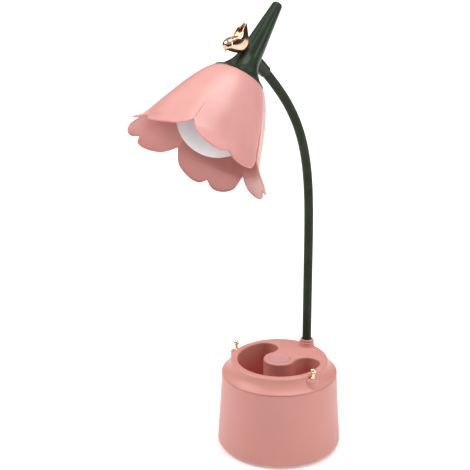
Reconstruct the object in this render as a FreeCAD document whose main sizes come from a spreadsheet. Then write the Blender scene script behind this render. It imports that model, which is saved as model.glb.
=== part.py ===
import FreeCAD, Part
import math
import os

import Sketcher
from FreeCAD import Placement, Rotation, Vector

# Flower desk lamp. Millimetres, +Z up. The origin is the centre of the base on the surface it rests on.
# -Y is the front: the neck rises at the back (+Y) and leans its bell-shaped shade forward over the pen well.

SIZES = {
    # Pot-shaped base
    "base_radius": 58.0,
    "shoulder_radius": 54.0,
    "base_height": 86.6,
    "seam_height": 73.0,
    "foot_height": 1.5,
    "foot_round": 4.0,
    "base_wall": 2.5,
    "lip_width": 2.0,
    "fit_gap": 0.2,
    "shoulder_round": 2.5,
    "shoulder_rise": 1.7,
    "shoulder_inset": 1.0,
    "collar_radius": 45.7,
    "collar_round": 2.8,
    "collar_sweep": 17.0,
    "plate_thickness": 2.5,
    "locating_lip": 3.0,
    # Pen well: a kidney-shaped channel round the middle of the top
    "well_inner": 15.0,
    "well_outer": 39.1,
    "well_reach": 109.5,
    "well_depth": 62.0,
    "well_wall": 2.0,
    "well_round": 1.6,
    # Ears on the collar and their pins
    "ear_angle": 80.0,
    "ear_radius": 6.4,
    "ear_distance": 46.2,
    "ear_top": 83.4,
    "ear_bottom": 74.0,
    "ear_round": 1.0,
    "pin_ball": 2.4,
    "pin_ball_cut": 60.0,
    "pin_collar": 2.0,
    "pin_foot": 1.3,
    "pin_waist": 1.2,
    "pin_height": 9.9,
    "pin_spigot": 1.1,
    "pin_depth": 5.0,
    # Touch button and its sensor board
    "button_radius": 9.7,
    "button_thickness": 1.0,
    "sensor_radius": 8.0,
    "sensor_thickness": 1.6,
    # Boss, collar, stem and nut that hold the foot of the neck
    "neck_back": 40.0,
    "boss_radius": 7.0,
    "boss_height": 4.4,
    "boss_root": 4.6,
    "ring_radius": 6.0,
    "ring_height": 2.4,
    "ring_groove": 0.7,
    "groove_depth": 0.6,
    "stem_radius": 4.0,
    "stem_bore": 2.0,
    "stem_length": 14.5,
    "nut_radius": 5.4,
    "nut_height": 4.0,
    "seat_depth": 6.0,
    # Bottom cover, feet and what the base holds
    "cover_thickness": 2.0,
    "screw_inset": 11.0,
    "screw_radius": 1.5,
    "screw_head": 2.8,
    "screw_head_height": 1.4,
    "screw_length": 10.0,
    "post_radius": 3.6,
    "post_height": 14.0,
    "post_root": 1.5,
    "pad_radius": 5.0,
    "pad_inset": 20.0,
    "ballast_gap": 3.4,
    "ballast_thickness": 12.0,
    "ballast_front": 3.0,
    "cell_radius": 9.2,
    "cell_length": 65.0,
    "cell_back": 14.0,
    "holder_wall": 1.5,
    "holder_height": 15.0,
    "board_width": 28.0,
    "board_depth": 25.0,
    "board_thickness": 1.6,
    "board_inset": 5.5,
    "socket_height": 14.0,
    "socket_width": 8.94,
    "socket_thickness": 3.16,
    "socket_wall": 0.3,
    "socket_length": 7.3,
    "socket_recess": 0.5,
    "socket_back": 1.2,
    "tongue_width": 6.6,
    "tongue_thickness": 0.7,
    "standoff_radius": 2.5,
    "standoff_rows": 15.0,
    "standoff_taper": 3.5,
    # Gooseneck: equal spans that each bend by their share of one crook
    "span_count": 9,
    "span_length": 32.18,
    "neck_turn": 46.0,
    "crook_count": 7.0,
    "crook_spread_ratio": 1.5,
    "sleeve_radius": 4.2,
    "core_radius": 2.7,
    "core_gap": 0.2,
    "cup_gap": 0.3,
    "core_relief": 1.0,
    # Head: its axis leans back from the mouth of the shade to the tip of the handle
    "ferrule_radius": 5.5,
    "ferrule_reach": 26.4,
    "ferrule_height": 87.3,
    "ferrule_depth": 22.0,
    "ferrule_tilt": 1.5,
    "ferrule_round": 0.8,
    "cap_radius": 23.4,
    "cap_lip": 0.8,
    "cap_flare": 28.0,
    "cap_wall": 2.2,
    "cap_seat": 2.9,
    "cap_bottom": 64.5,
    "handle_foot": 88.0,
    "handle_foot_radius": 10.1,
    "handle_tip": 140.6,
    "handle_tip_radius": 4.6,
    "handle_tip_round": 3.0,
    "handle_plug": 6.6,
    # Shade: five petals round the axis, measured down from the cap
    "petal_count": 5,
    "petal_phase": 260.0,
    "shade_top_radius": 22.2,
    "shade_wall": 2.0,
    "shade_ring": 2.0,
    "shade_ring_bore": 11.5,
    "junction_radius": 54.3,
    "crown_inset": 3.0,
    "notch_radius": 63.0,
    "notch_drop": 11.9,
    "lobe_drop": 17.0,
    "lobe_offset": 9.0,
    "petal_start": 32.0,
    # Lamp inside the shade
    "dish_radius": 37.6,
    "dish_wall": 1.5,
    "dish_lip": 3.0,
    "dish_flange": 19.0,
    "dish_tube": 11.0,
    "wire_hole": 3.0,
    "dome_radius": 35.5,
    "dome_wall": 1.8,
    "dome_level": 27.5,
    "led_board_radius": 28.0,
    "led_board_thickness": 1.6,
    "led_side": 3.0,
    "led_thickness": 0.8,
    "led_ring": 20.0,
    "led_count": 12,
    "head_screw_circle": 14.0,
    "head_screw_radius": 1.2,
    "head_screw_head": 2.3,
    "head_screw_head_height": 1.5,
    "head_screw_length": 9.0,
    "head_post_radius": 2.6,
    "head_post_height": 6.4,
    # Bird perched on the foot of the handle
    "bird_out": 22.5,
    "bird_height": 85.0,
    "bird_length": 13.0,
    "bird_width": 6.4,
    "bird_depth": 7.4,
    "bird_pitch": 26.0,
    "bird_neck": 10.4,
    "bird_nod": 1.0,
    "bird_head_radius": 5.4,
    "bird_beak": 7.9,
    "bird_beak_root": 2.4,
    "bird_beak_tip": 0.3,
    "bird_tail": 20.0,
    "bird_tail_back": 5.8,
    "bird_tail_root": 5.5,
    "bird_tail_tip": 0.8,
}

doc = FreeCAD.newDocument("FlowerLamp")
sheet = doc.addObject("Spreadsheet::Sheet", "Sizes")
for row, (alias, number) in enumerate(SIZES.items(), start=1):
    sheet.set(f"A{row}", alias)
    sheet.set(f"B{row}", str(number))
    sheet.setAlias(f"B{row}", alias)
doc.recompute()


class Size:
    """A number together with the sheet expression that it comes from."""

    def __init__(self, value, text):
        self.value = value
        self.text = text

    def __add__(self, other):
        other = as_size(other)
        return Size(self.value + other.value, f"({self.text} + {other.text})")

    def __sub__(self, other):
        other = as_size(other)
        return Size(self.value - other.value, f"({self.text} - {other.text})")

    def __mul__(self, other):
        other = as_size(other)
        return Size(self.value * other.value, f"({self.text} * {other.text})")

    def __truediv__(self, other):
        other = as_size(other)
        return Size(self.value / other.value, f"({self.text} / {other.text})")

    def __neg__(self):
        return Size(-self.value, f"(0 - {self.text})")

    __radd__ = __add__


def as_size(number):
    """A plain number as a Size; a Size stays as it is."""
    if isinstance(number, Size):
        return number
    return Size(float(number), f"({float(number)!r})")


def size(alias):
    """The named value of the sheet."""
    return Size(float(getattr(sheet, alias)), f"Sizes.{alias}")


def sine(angle):
    return Size(math.sin(math.radians(angle.value)), f"sin({angle.text})")


def cosine(angle):
    return Size(math.cos(math.radians(angle.value)), f"cos({angle.text})")


def bind(thing, attribute, amount):
    """Tie one property of an object to the sheet."""
    thing.setExpression(attribute, as_size(amount).text)


# ---------------------------------------------------------------- sketches and features of a body


def new_body(label, place=None):
    body = doc.addObject("PartDesign::Body", label)
    body.Label = label
    if place is not None:
        body.Placement = place
    return body


def pin_point(sketch, edge, end, x, y):
    """Hold one end of an edge at (x, y), both bound to the sheet."""
    for kind, amount in (("DistanceX", x), ("DistanceY", y)):
        amount = as_size(amount)
        index = sketch.addConstraint(Sketcher.Constraint(kind, edge, end, amount.value))
        sketch.setExpression(f"Constraints[{index}]", amount.text)


def set_radius(sketch, edge, radius):
    index = sketch.addConstraint(Sketcher.Constraint("Radius", edge, abs(radius.value)))
    sketch.setExpression(f"Constraints[{index}]", f"abs({radius.text})")


def add_arc(sketch, start, finish, radius):
    """Arc from start to finish; a positive radius turns left. Gives the edge and its two ends in order."""
    chord = finish - start
    half = chord.Length / 2
    reach = math.sqrt(max(radius * radius - half * half, 0.0))
    side = Vector(-chord.y, chord.x, 0).normalize() * math.copysign(reach, radius)
    centre = (start + finish) * 0.5 + side
    first, last = (start, finish) if radius > 0 else (finish, start)
    angles = [math.atan2((p - centre).y, (p - centre).x) for p in (first, last)]
    if angles[1] < angles[0]:
        angles[1] += 2 * math.pi
    circle = Part.Circle(centre, Vector(0, 0, 1), abs(radius))
    edge = sketch.addGeometry(Part.ArcOfCircle(circle, *angles), False)
    return (edge, 1, 2) if radius > 0 else (edge, 2, 1)


def sketch_on(body, name, role, corners=(), circles=(), level=None, spin=0):
    """Sketch on an origin plane of its body, lifted to level and turned by spin degrees.

    Each corner is (x, y), reached by a line, or (x, y, radius), reached by an arc that turns left when
    the radius is positive. Each circle is (x, y, radius). Everything is bound to the sheet.
    """
    sketch = body.newObject("Sketcher::SketchObject", name)
    plane = next(feature for feature in body.Origin.OriginFeatures if feature.Role == role)
    sketch.AttachmentSupport = [(plane, "")]
    sketch.MapMode = "FlatFace"
    sketch.AttachmentOffset = Placement(Vector(), Rotation(Vector(0, 0, 1), spin))
    if level is not None:
        bind(sketch, "AttachmentOffset.Base.z", level)
    points = [Vector(as_size(corner[0]).value, as_size(corner[1]).value, 0) for corner in corners]
    edges = []
    for index, corner in enumerate(corners):
        start, finish = points[index - 1], points[index]
        if len(corner) == 3:
            edges.append(add_arc(sketch, start, finish, as_size(corner[2]).value))
        else:
            edges.append((sketch.addGeometry(Part.LineSegment(start, finish), False), 1, 2))
    for index, corner in enumerate(corners):
        edge, _, finish_end = edges[index]
        following, start_end, _ = edges[(index + 1) % len(edges)]
        sketch.addConstraint(Sketcher.Constraint("Coincident", edge, finish_end, following, start_end))
        pin_point(sketch, edge, finish_end, corner[0], corner[1])
        if len(corner) == 3:
            set_radius(sketch, edge, as_size(corner[2]))
    for x, y, radius in circles:
        centre = Vector(as_size(x).value, as_size(y).value, 0)
        edge = sketch.addGeometry(Part.Circle(centre, Vector(0, 0, 1), as_size(radius).value), False)
        pin_point(sketch, edge, 3, x, y)
        set_radius(sketch, edge, as_size(radius))
    return sketch


def revolve(body, corners):
    """Turn an outline (radius, height) fully round the body's own Z axis."""
    sketch = sketch_on(body, f"{body.Name}_outline", "XZ_Plane", corners)
    turned = body.newObject("PartDesign::Revolution", f"{body.Name}_turned")
    turned.Profile = sketch
    turned.ReferenceAxis = (sketch, ["V_Axis"])
    turned.Angle = 360
    return turned


def pad(body, name, sketch, length):
    feature = body.newObject("PartDesign::Pad", name)
    feature.Profile = sketch
    bind(feature, "Length", length)
    return feature


def pocket(body, name, sketch, length, reversed_side=False):
    feature = body.newObject("PartDesign::Pocket", name)
    feature.Profile = sketch
    feature.Reversed = reversed_side
    bind(feature, "Length", length)
    cuts.append(feature)
    return feature


def polar(body, name, feature, count):
    """Repeat a feature evenly round the body's Z axis."""
    axis = next(item for item in body.Origin.OriginFeatures if item.Role == "Z_Axis")
    pattern = body.newObject("PartDesign::PolarPattern", name)
    pattern.Originals = [feature]
    pattern.Axis = (axis, [""])
    pattern.Angle = 360
    pattern.Occurrences = count
    body.Tip = pattern
    return pattern


def round_edges(body, name, radius, wanted):
    """Fillet the edges of the body's tip that the test picks."""
    doc.recompute()
    base = body.Tip
    names = [f"Edge{i}" for i, edge in enumerate(base.Shape.Edges, start=1) if wanted(edge)]
    fillet = body.newObject("PartDesign::Fillet", name)
    fillet.Base = (base, names)
    bind(fillet, "Radius", radius)
    return fillet


def lies_at(edge, level):
    """True for an edge that lies flat at a height of its body."""
    return max(abs(edge.BoundBox.ZMin - level.value), abs(edge.BoundBox.ZMax - level.value)) < 1e-4


# ---------------------------------------------------------------- primitives and booleans


def put(thing, place, x=0, y=0, z=0, turn=None):
    """Stand a primitive at (x, y, z) of the frame that place gives."""
    point = Vector(*(as_size(amount).value for amount in (x, y, z)))
    thing.Placement = place.multiply(Placement(point, turn or Rotation()))
    return thing


def cylinder(name, radius, height, place, x=0, y=0, z=0, turn=None):
    thing = doc.addObject("Part::Cylinder", name)
    bind(thing, "Radius", radius)
    bind(thing, "Height", height)
    return put(thing, place, x, y, z, turn)


def box(name, length, width, height, place, x=0, y=0, z=0):
    thing = doc.addObject("Part::Box", name)
    bind(thing, "Length", length)
    bind(thing, "Width", width)
    bind(thing, "Height", height)
    return put(thing, place, x, y, z)


def sphere(name, radius, place, x=0, y=0, z=0, low=-90, high=90):
    thing = doc.addObject("Part::Sphere", name)
    bind(thing, "Radius", radius)
    thing.Angle1 = low
    thing.Angle2 = high
    return put(thing, place, x, y, z)


def join(label, *things):
    fused = doc.addObject("Part::MultiFuse", label)
    fused.Shapes = list(things)
    fused.Label = label
    return fused


def cut(label, base, *tools):
    tool = tools[0] if len(tools) == 1 else join(f"{label}_tools", *tools)
    piece = doc.addObject("Part::Cut", label)
    piece.Base = base
    piece.Tool = tool
    piece.Label = label
    cuts.append(piece)
    return piece


def group(label, *things):
    """Equal separate solids that share one name."""
    compound = doc.addObject("Part::Compound", label)
    compound.Links = list(things)
    compound.Label = label
    return compound


def shape_piece(label, shape, place=None):
    thing = doc.addObject("Part::Feature", label)
    thing.Shape = shape
    if place is not None:
        thing.Placement = place
    thing.Label = label
    return thing


nodes = {}
cuts = []
BASE = Placement()
SCREW_START = 45.0
STRAIGHT_SHARE = 0.02


def keep(piece):
    """A finished sub-part of the lamp."""
    nodes[piece.Label] = piece
    return piece


# ---------------------------------------------------------------- base: outer shell and top


def cover_top():
    """Height of the bottom cover's upper face, where the posts and the ballast stand."""
    return size("foot_height") + size("cover_thickness")


def cover_edge():
    """Inner radius of the shell's bottom lip."""
    return size("base_radius") - size("foot_round") - size("lip_width")


def screw_circle():
    """Radius of the circle of posts that take the cover's screws."""
    return size("base_radius") - size("screw_inset")


def board_edge():
    """Distance of the main board's rear edge from the axis."""
    return size("base_radius") - size("board_inset")


def wall_radius(height):
    """Outer radius of the tapered wall at a height."""
    low = size("foot_height") + size("foot_round")
    share = (height - low) / (size("seam_height") - low)
    return size("base_radius") - (size("base_radius") - size("shoulder_radius")) * share


def rounded_slot(half_width, half_height, middle):
    """Outline of a slot with round ends, centred at x = 0 and y = middle."""
    straight = half_width - half_height
    return [
        (-straight, middle - half_height, half_height),
        (straight, middle - half_height),
        (half_width, middle, half_height),
        (straight, middle + half_height, half_height),
        (-straight, middle + half_height),
        (-half_width, middle, half_height),
    ]


def base_shell():
    body = new_body("base_shell")
    low = size("foot_height")
    knee = low + size("foot_round")
    inner = size("base_radius") - size("base_wall")
    revolve(body, [
        (size("base_radius") - size("foot_round"), low),
        (size("base_radius"), knee, size("foot_round")),
        (size("shoulder_radius"), size("seam_height")),
        (size("shoulder_radius") - size("base_wall"), size("seam_height")),
        (inner, knee),
        (cover_edge(), cover_top()),
        (cover_edge(), low),
    ])
    post = size("post_radius")
    web_end = size("base_radius") - size("post_root")
    posts = sketch_on(
        body, "posts", "XY_Plane",
        [(screw_circle(), -post), (web_end, -post), (web_end, post),
         (screw_circle(), post), (screw_circle() - post, 0, post)],
        [(screw_circle(), 0, size("screw_radius"))],
        level=cover_top(), spin=SCREW_START,
    )
    polar(body, "post_row", pad(body, "post", posts, size("post_height")), 4)
    half_width = size("socket_width") / 2 + size("fit_gap")
    half_height = size("socket_thickness") / 2 + size("fit_gap")
    slot = sketch_on(body, "port_slot", "XZ_Plane",
                     rounded_slot(half_width, half_height, size("socket_height")))
    pocket(body, "port_cut", slot, size("base_radius") + size("base_wall"))
    return keep(body)


def polar_point(radius, angle):
    """Point at a radius and an angle measured from the front, positive towards +X."""
    return sine(angle) * radius, -(cosine(angle) * radius)


def kidney(grow):
    """Outline of the pen well, moved outwards by grow."""
    inner = size("well_inner") - grow
    outer = size("well_outer") + grow
    middle = (size("well_inner") + size("well_outer")) / 2
    end = (outer - inner) / 2
    reach = size("well_reach")
    corners = []
    for side in (-1, 1):
        angle = reach * side
        apex_x, apex_y = polar_point(middle, angle)
        apex = (apex_x + cosine(angle) * end * side, apex_y + sine(angle) * end * side, end)
        outside = polar_point(outer, angle)
        inside = polar_point(inner, angle)
        if side < 0:
            corners += [inside + (-inner,), apex, outside + (end,), (0, -outer, outer)]
        else:
            corners += [outside + (outer,), apex, inside + (end,), (0, -inner, -inner)]
    return corners


def top_cover():
    body = new_body("top_cover")
    top = size("base_height")
    under = top - size("plate_thickness")
    wall = size("base_wall")
    seam = size("seam_height")
    shoulder = size("shoulder_radius")
    collar = size("collar_radius")
    lip = shoulder - wall - size("fit_gap")
    collar_round = size("collar_round")
    revolve(body, [
        (shoulder, seam),
        (shoulder - size("shoulder_inset"), seam + size("shoulder_rise"), size("shoulder_round")),
        (collar, top - collar_round, -size("collar_sweep")),
        (collar - collar_round, top, collar_round),
        (0, top),
        (0, under),
        (collar - wall, under),
        (collar - wall, under - wall),
        (lip - size("lip_width"), seam),
        (lip - size("lip_width"), seam - size("locating_lip")),
        (lip, seam - size("locating_lip")),
        (lip, seam),
    ])
    well_bottom = top - size("well_depth") - size("well_wall")
    shell = sketch_on(body, "well_shell", "XY_Plane", kidney(size("well_wall")), level=well_bottom)
    pad(body, "well_block", shell, under - well_bottom + size("plate_thickness") / 2)
    ears = [polar_point(size("ear_distance"), size("ear_angle") * side) + (size("ear_radius"),)
            for side in (-1, 1)]
    ear_sketch = sketch_on(body, "ear_outline", "XY_Plane", circles=ears, level=size("ear_bottom"))
    pad(body, "ears", ear_sketch, size("ear_top") - size("ear_bottom"))
    well = sketch_on(body, "well_outline", "XY_Plane", kidney(Size(0.0, "(0)")), level=top)
    pocket(body, "well", well, size("well_depth"))
    rim = size("well_outer").value + 0.1
    round_edges(body, "well_rim", size("well_round"),
                lambda edge: lies_at(edge, top) and all(v.Point.x ** 2 + v.Point.y ** 2 < rim ** 2
                                                        for v in edge.Vertexes))
    round_edges(body, "ear_tops", size("ear_round"),
                lambda edge: lies_at(edge, size("ear_top"))
                and abs(edge.Curve.Radius - size("ear_radius").value) < 1e-4)
    boss = sketch_on(body, "boss_outline", "XY_Plane",
                     circles=[(0, size("neck_back"), size("boss_radius"))], level=nut_seat())
    pad(body, "neck_boss", boss, top + size("boss_height") - nut_seat())
    nut_room = sketch_on(body, "nut_outline", "XY_Plane",
                         circles=[(0, size("neck_back"), size("nut_radius") + size("fit_gap"))],
                         level=nut_seat())
    pocket(body, "nut_room", nut_room, size("stem_length"))
    button = sketch_on(body, "button_outline", "XY_Plane",
                       circles=[(0, 0, size("button_radius") + size("fit_gap") / 2)], level=top)
    pocket(body, "button_seat", button, size("button_thickness"))
    stem = sketch_on(body, "stem_outline", "XY_Plane",
                     circles=[(0, size("neck_back"), size("stem_radius") + size("fit_gap") / 2)],
                     level=top + size("boss_height"))
    pocket(body, "stem_hole", stem, size("stem_length") * 2)
    sleeve = sketch_on(body, "sleeve_outline", "XY_Plane",
                       circles=[(0, size("neck_back"), size("sleeve_radius") + size("fit_gap") / 2)],
                       level=top + size("boss_height"))
    pocket(body, "sleeve_seat", sleeve, size("seat_depth") - size("ring_height"))
    holes = [polar_point(pin_distance(), size("ear_angle") * side)
             + (size("pin_spigot") + size("fit_gap") / 4,) for side in (-1, 1)]
    pin_holes = sketch_on(body, "pin_outline", "XY_Plane", circles=holes, level=size("ear_top"))
    pocket(body, "pin_holes", pin_holes, size("pin_depth"))
    return keep(body)


def pin_distance():
    """Distance of the pins from the axis, just clear of the collar."""
    return size("collar_radius") + size("pin_collar") + size("fit_gap") / 2


def ear_pin(label, side):
    """Ball on a waisted collar, with a spigot pressed into the ear."""
    x, y = polar_point(pin_distance(), size("ear_angle") * side)
    place = Placement(Vector(x.value, y.value, size("ear_top").value), Rotation())
    body = new_body(label, place)
    ball = size("pin_ball")
    collar = size("pin_collar")
    neck = size("pin_waist")
    centre = size("pin_height") - ball
    reach = cosine(size("pin_ball_cut")) * ball
    waist = sine(size("pin_ball_cut")) * ball
    revolve(body, [
        (0, -size("pin_depth")),
        (size("pin_spigot"), -size("pin_depth")),
        (size("pin_spigot"), 0),
        (collar, 0),
        (collar, size("pin_foot")),
        (neck, size("pin_foot") + collar - neck),
        (neck, centre - waist),
        (reach, centre - waist),
        (ball, centre, ball),
        (0, centre + ball, ball),
    ])
    return keep(body)


def touch_parts():
    top = size("base_height")
    keep(cylinder("touch_button", size("button_radius"), size("button_thickness"), BASE,
                  z=top - size("button_thickness")))
    keep(cylinder("touch_sensor", size("sensor_radius"), size("sensor_thickness"), BASE,
                  z=top - size("plate_thickness") - size("sensor_thickness")))


def nut_seat():
    """Underside of the boss, which the nut is tightened against."""
    return size("base_height") - size("plate_thickness") - size("boss_root")


def neck_mount():
    """Ring, stem and nut that clamp the foot of the gooseneck to the top cover."""
    place = Placement(Vector(0, size("neck_back").value, 0), Rotation())
    top = size("base_height") + size("boss_height")
    ring = new_body("neck_ring", place)
    bore = size("sleeve_radius") + size("fit_gap") / 2
    outer = size("ring_radius")
    groove = outer - size("groove_depth")
    edge = top + size("ring_height")
    revolve(ring, [
        (bore, top),
        (groove, top),
        (groove, top + size("ring_groove")),
        (outer, top + size("ring_groove")),
        (outer, edge - size("groove_depth")),
        (outer - size("groove_depth"), edge, size("groove_depth")),
        (bore, edge),
    ])
    keep(ring)
    seat = top + size("ring_height") - size("seat_depth")
    stem = new_body("neck_stem", place)
    revolve(stem, [
        (size("stem_bore"), seat - size("stem_length")),
        (size("stem_radius"), seat - size("stem_length")),
        (size("stem_radius"), seat),
        (size("stem_bore"), seat),
    ])
    keep(stem)
    nut = new_body("neck_nut", place)
    corner = size("nut_radius")
    across = corner * math.cos(math.radians(30))
    half = corner / 2
    hexagon = sketch_on(nut, "hexagon", "XY_Plane", [
        (corner, 0), (half, across), (-half, across), (-corner, 0), (-half, -across), (half, -across)],
        [(0, 0, size("stem_radius") + size("fit_gap") / 4)], level=nut_seat() - size("nut_height"))
    pad(nut, "nut_block", hexagon, size("nut_height"))
    keep(nut)


# ---------------------------------------------------------------- base: underside and what it holds


def bottom_cover():
    body = new_body("bottom_cover")
    low = size("foot_height")
    revolve(body, [
        (0, low),
        (cover_edge() - size("fit_gap"), low),
        (cover_edge() - size("fit_gap"), cover_top()),
        (0, cover_top()),
    ])
    post_x = size("board_width") / 2 - size("standoff_radius")
    post_y = board_edge() - size("board_depth") + size("standoff_radius")
    spots = [(post_x * side, post_y, size("standoff_radius")) for side in (-1, 1)]
    spots += [((post_x - size("standoff_taper")) * side, post_y + size("standoff_rows"),
               size("standoff_radius")) for side in (-1, 1)]
    standoffs = sketch_on(body, "standoff_outline", "XY_Plane", circles=spots, level=cover_top())
    pad(body, "standoffs", standoffs, board_level() - cover_top())
    hole = sketch_on(body, "screw_outline", "XY_Plane",
                     circles=[(screw_circle(), 0, size("screw_radius") + size("fit_gap") / 2)],
                     level=cover_top(), spin=SCREW_START)
    polar(body, "screw_row", pocket(body, "screw_hole", hole, size("cover_thickness")), 4)
    sink = sketch_on(body, "sink_outline", "XY_Plane",
                     circles=[(screw_circle(), 0, size("screw_head") + size("fit_gap"))],
                     level=low + size("screw_head_height"), spin=SCREW_START)
    polar(body, "sink_row", pocket(body, "screw_sink", sink, size("screw_head_height")), 4)
    return keep(body)


def board_level():
    """Underside of the main board, which carries the charging socket on its top face."""
    return size("socket_height") - size("socket_thickness") / 2 - size("board_thickness")


def around(count, start, radius):
    """Points evenly spaced on a circle."""
    for index in range(count):
        angle = math.radians(start + 360.0 * index / count)
        yield radius.value * math.cos(angle), radius.value * math.sin(angle)


def fasteners(label, spots, place, head_level, head_radius, head_height, shank_radius, length, up=True):
    """Screws with their heads below and their shanks pointing along +Z of the frame."""
    solids = []
    for index, (x, y) in enumerate(spots):
        head = cylinder(f"{label}_head_{index}", head_radius, head_height, place, x, y, head_level)
        shank = cylinder(f"{label}_shank_{index}", shank_radius, length, place, x, y,
                         head_level + head_height)
        solids.append(join(f"{label}_{index}", head, shank))
    return keep(group(label, *solids))


def base_contents():
    fasteners("bottom_screws", around(4, SCREW_START, screw_circle()), BASE, size("foot_height"),
              size("screw_head"), size("screw_head_height"),
              size("screw_radius") - size("fit_gap") / 4, size("screw_length"))
    spots = [(0, 0)] + list(around(4, 0, size("base_radius") - size("pad_inset")))
    pads = [cylinder(f"pad_{index}", size("pad_radius"), size("foot_height"), BASE, x, y)
            for index, (x, y) in enumerate(spots)]
    keep(group("rubber_feet", *pads))
    ballast = new_body("ballast_plate")
    radius = screw_circle() - size("post_radius") - size("ballast_gap")
    front = size("ballast_front")
    half = sketch_on(ballast, "ballast_outline", "XY_Plane", [
        (-radius, -front), (0, -front - radius, radius), (radius, -front, radius)], level=cover_top())
    pad(ballast, "ballast_block", half, size("ballast_thickness"))
    keep(ballast)
    bore = size("cell_radius") + size("fit_gap")
    holder = new_body("cell_holder", Placement(Vector(0, size("cell_back").value, 0), Rotation()))
    revolve(holder, [
        (0, cover_top()),
        (bore + size("holder_wall"), cover_top()),
        (bore + size("holder_wall"), cover_top() + size("holder_height")),
        (bore, cover_top() + size("holder_height")),
        (bore, cover_top() + size("holder_wall")),
        (0, cover_top() + size("holder_wall")),
    ])
    keep(holder)
    keep(cylinder("battery_cell", size("cell_radius"), size("cell_length"), BASE,
                  y=size("cell_back"), z=cover_top() + size("holder_wall")))
    keep(box("main_board", size("board_width"), size("board_depth"), size("board_thickness"), BASE,
             -size("board_width") / 2, board_edge() - size("board_depth"), board_level()))
    charge_socket()


def charge_socket():
    """Metal shell of the charging socket with the contact tongue inside it."""
    mouth = wall_radius(size("socket_height")) - size("socket_recess")
    place = Placement(Vector(0, mouth.value, size("socket_height").value), Rotation(Vector(1, 0, 0), 90))
    body = new_body("charge_socket", place)
    for name, shrink, cutting in (("can", Size(0.0, "(0)"), False), ("cavity", size("socket_wall"), True)):
        half_height = size("socket_thickness") / 2 - shrink
        half_width = size("socket_width") / 2 - shrink
        outline = sketch_on(body, f"{name}_outline", "XY_Plane",
                            rounded_slot(half_width, half_height, Size(0.0, "(0)")))
        if cutting:
            pocket(body, name, outline, size("socket_length") - size("socket_back"), reversed_side=True)
        else:
            pad(body, name, outline, size("socket_length"))
    tongue_x = size("tongue_width") / 2
    tongue_y = size("tongue_thickness") / 2
    tongue = sketch_on(body, "tongue_outline", "XY_Plane", [
        (-tongue_x, -tongue_y), (tongue_x, -tongue_y), (tongue_x, tongue_y), (-tongue_x, tongue_y)],
        level=size("socket_back") / 2)
    pad(body, "tongue", tongue, size("socket_length") - size("socket_back"))
    return keep(body)


# ---------------------------------------------------------------- gooseneck


def neck_turns():
    """Degrees that each span bends: one bell-shaped crook, with the smallest shares left straight."""
    count = int(size("span_count").value)
    spread = size("crook_spread_ratio").value
    shares = [math.exp(-((index + 1 - size("crook_count").value) / spread) ** 2 / 2)
              for index in range(count)]
    least = STRAIGHT_SHARE * sum(shares)
    shares = [share if share > least else 0.0 for share in shares]
    return [size("neck_turn").value * share / sum(shares) for share in shares]


def neck_stations():
    """Ends of the spans as (point, lean), the lean in degrees from upright towards the front."""
    start = size("base_height") + size("boss_height") + size("ring_height")
    point = Vector(0, size("neck_back").value, start.value)
    lean = 0.0
    stations = [(point, lean)]
    for turn in neck_turns():
        point = along_span(point, lean, turn, 1.0)
        lean += turn
        stations.append((point, lean))
    return stations


def along_span(point, lean, turn, share):
    """Point at a share of a span that starts at point with the given lean."""
    length = size("span_length").value * share
    bend = math.radians(turn * share)
    chord = length if bend == 0 else 2 * length / bend * math.sin(bend / 2)
    mean = math.radians(lean) + bend / 2
    return point + Vector(0, -math.sin(mean), math.cos(mean)) * chord


def lean_frame(point, lean):
    """Frame whose Z axis follows the neck at a lean; its X axis is the lamp's own."""
    return Placement(point, Rotation(Vector(1, 0, 0), lean))


def bent_rod(name, radius, point, lean, turn, first=0.0, last=1.0):
    """Round rod along a span from one share of its length to another."""
    start = along_span(point, lean, turn, first)
    start_lean = lean + turn * first
    length = size("span_length") * (last - first)
    if turn == 0:
        return cylinder(name, radius, length, lean_frame(start, start_lean))
    rod = doc.addObject("Part::Torus", name)
    bend_radius = size("span_length").value / math.radians(turn)
    rod.Radius1 = bend_radius
    bind(rod, "Radius2", radius)
    rod.Angle3 = turn * (last - first)
    across = Rotation(Vector(0, 1, 0), Vector(0, 0, 1), Vector(1, 0, 0), "XYZ")
    centre = Placement(Vector(0, -bend_radius, 0), across)
    rod.Placement = lean_frame(start, start_lean).multiply(centre)
    return rod


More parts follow.
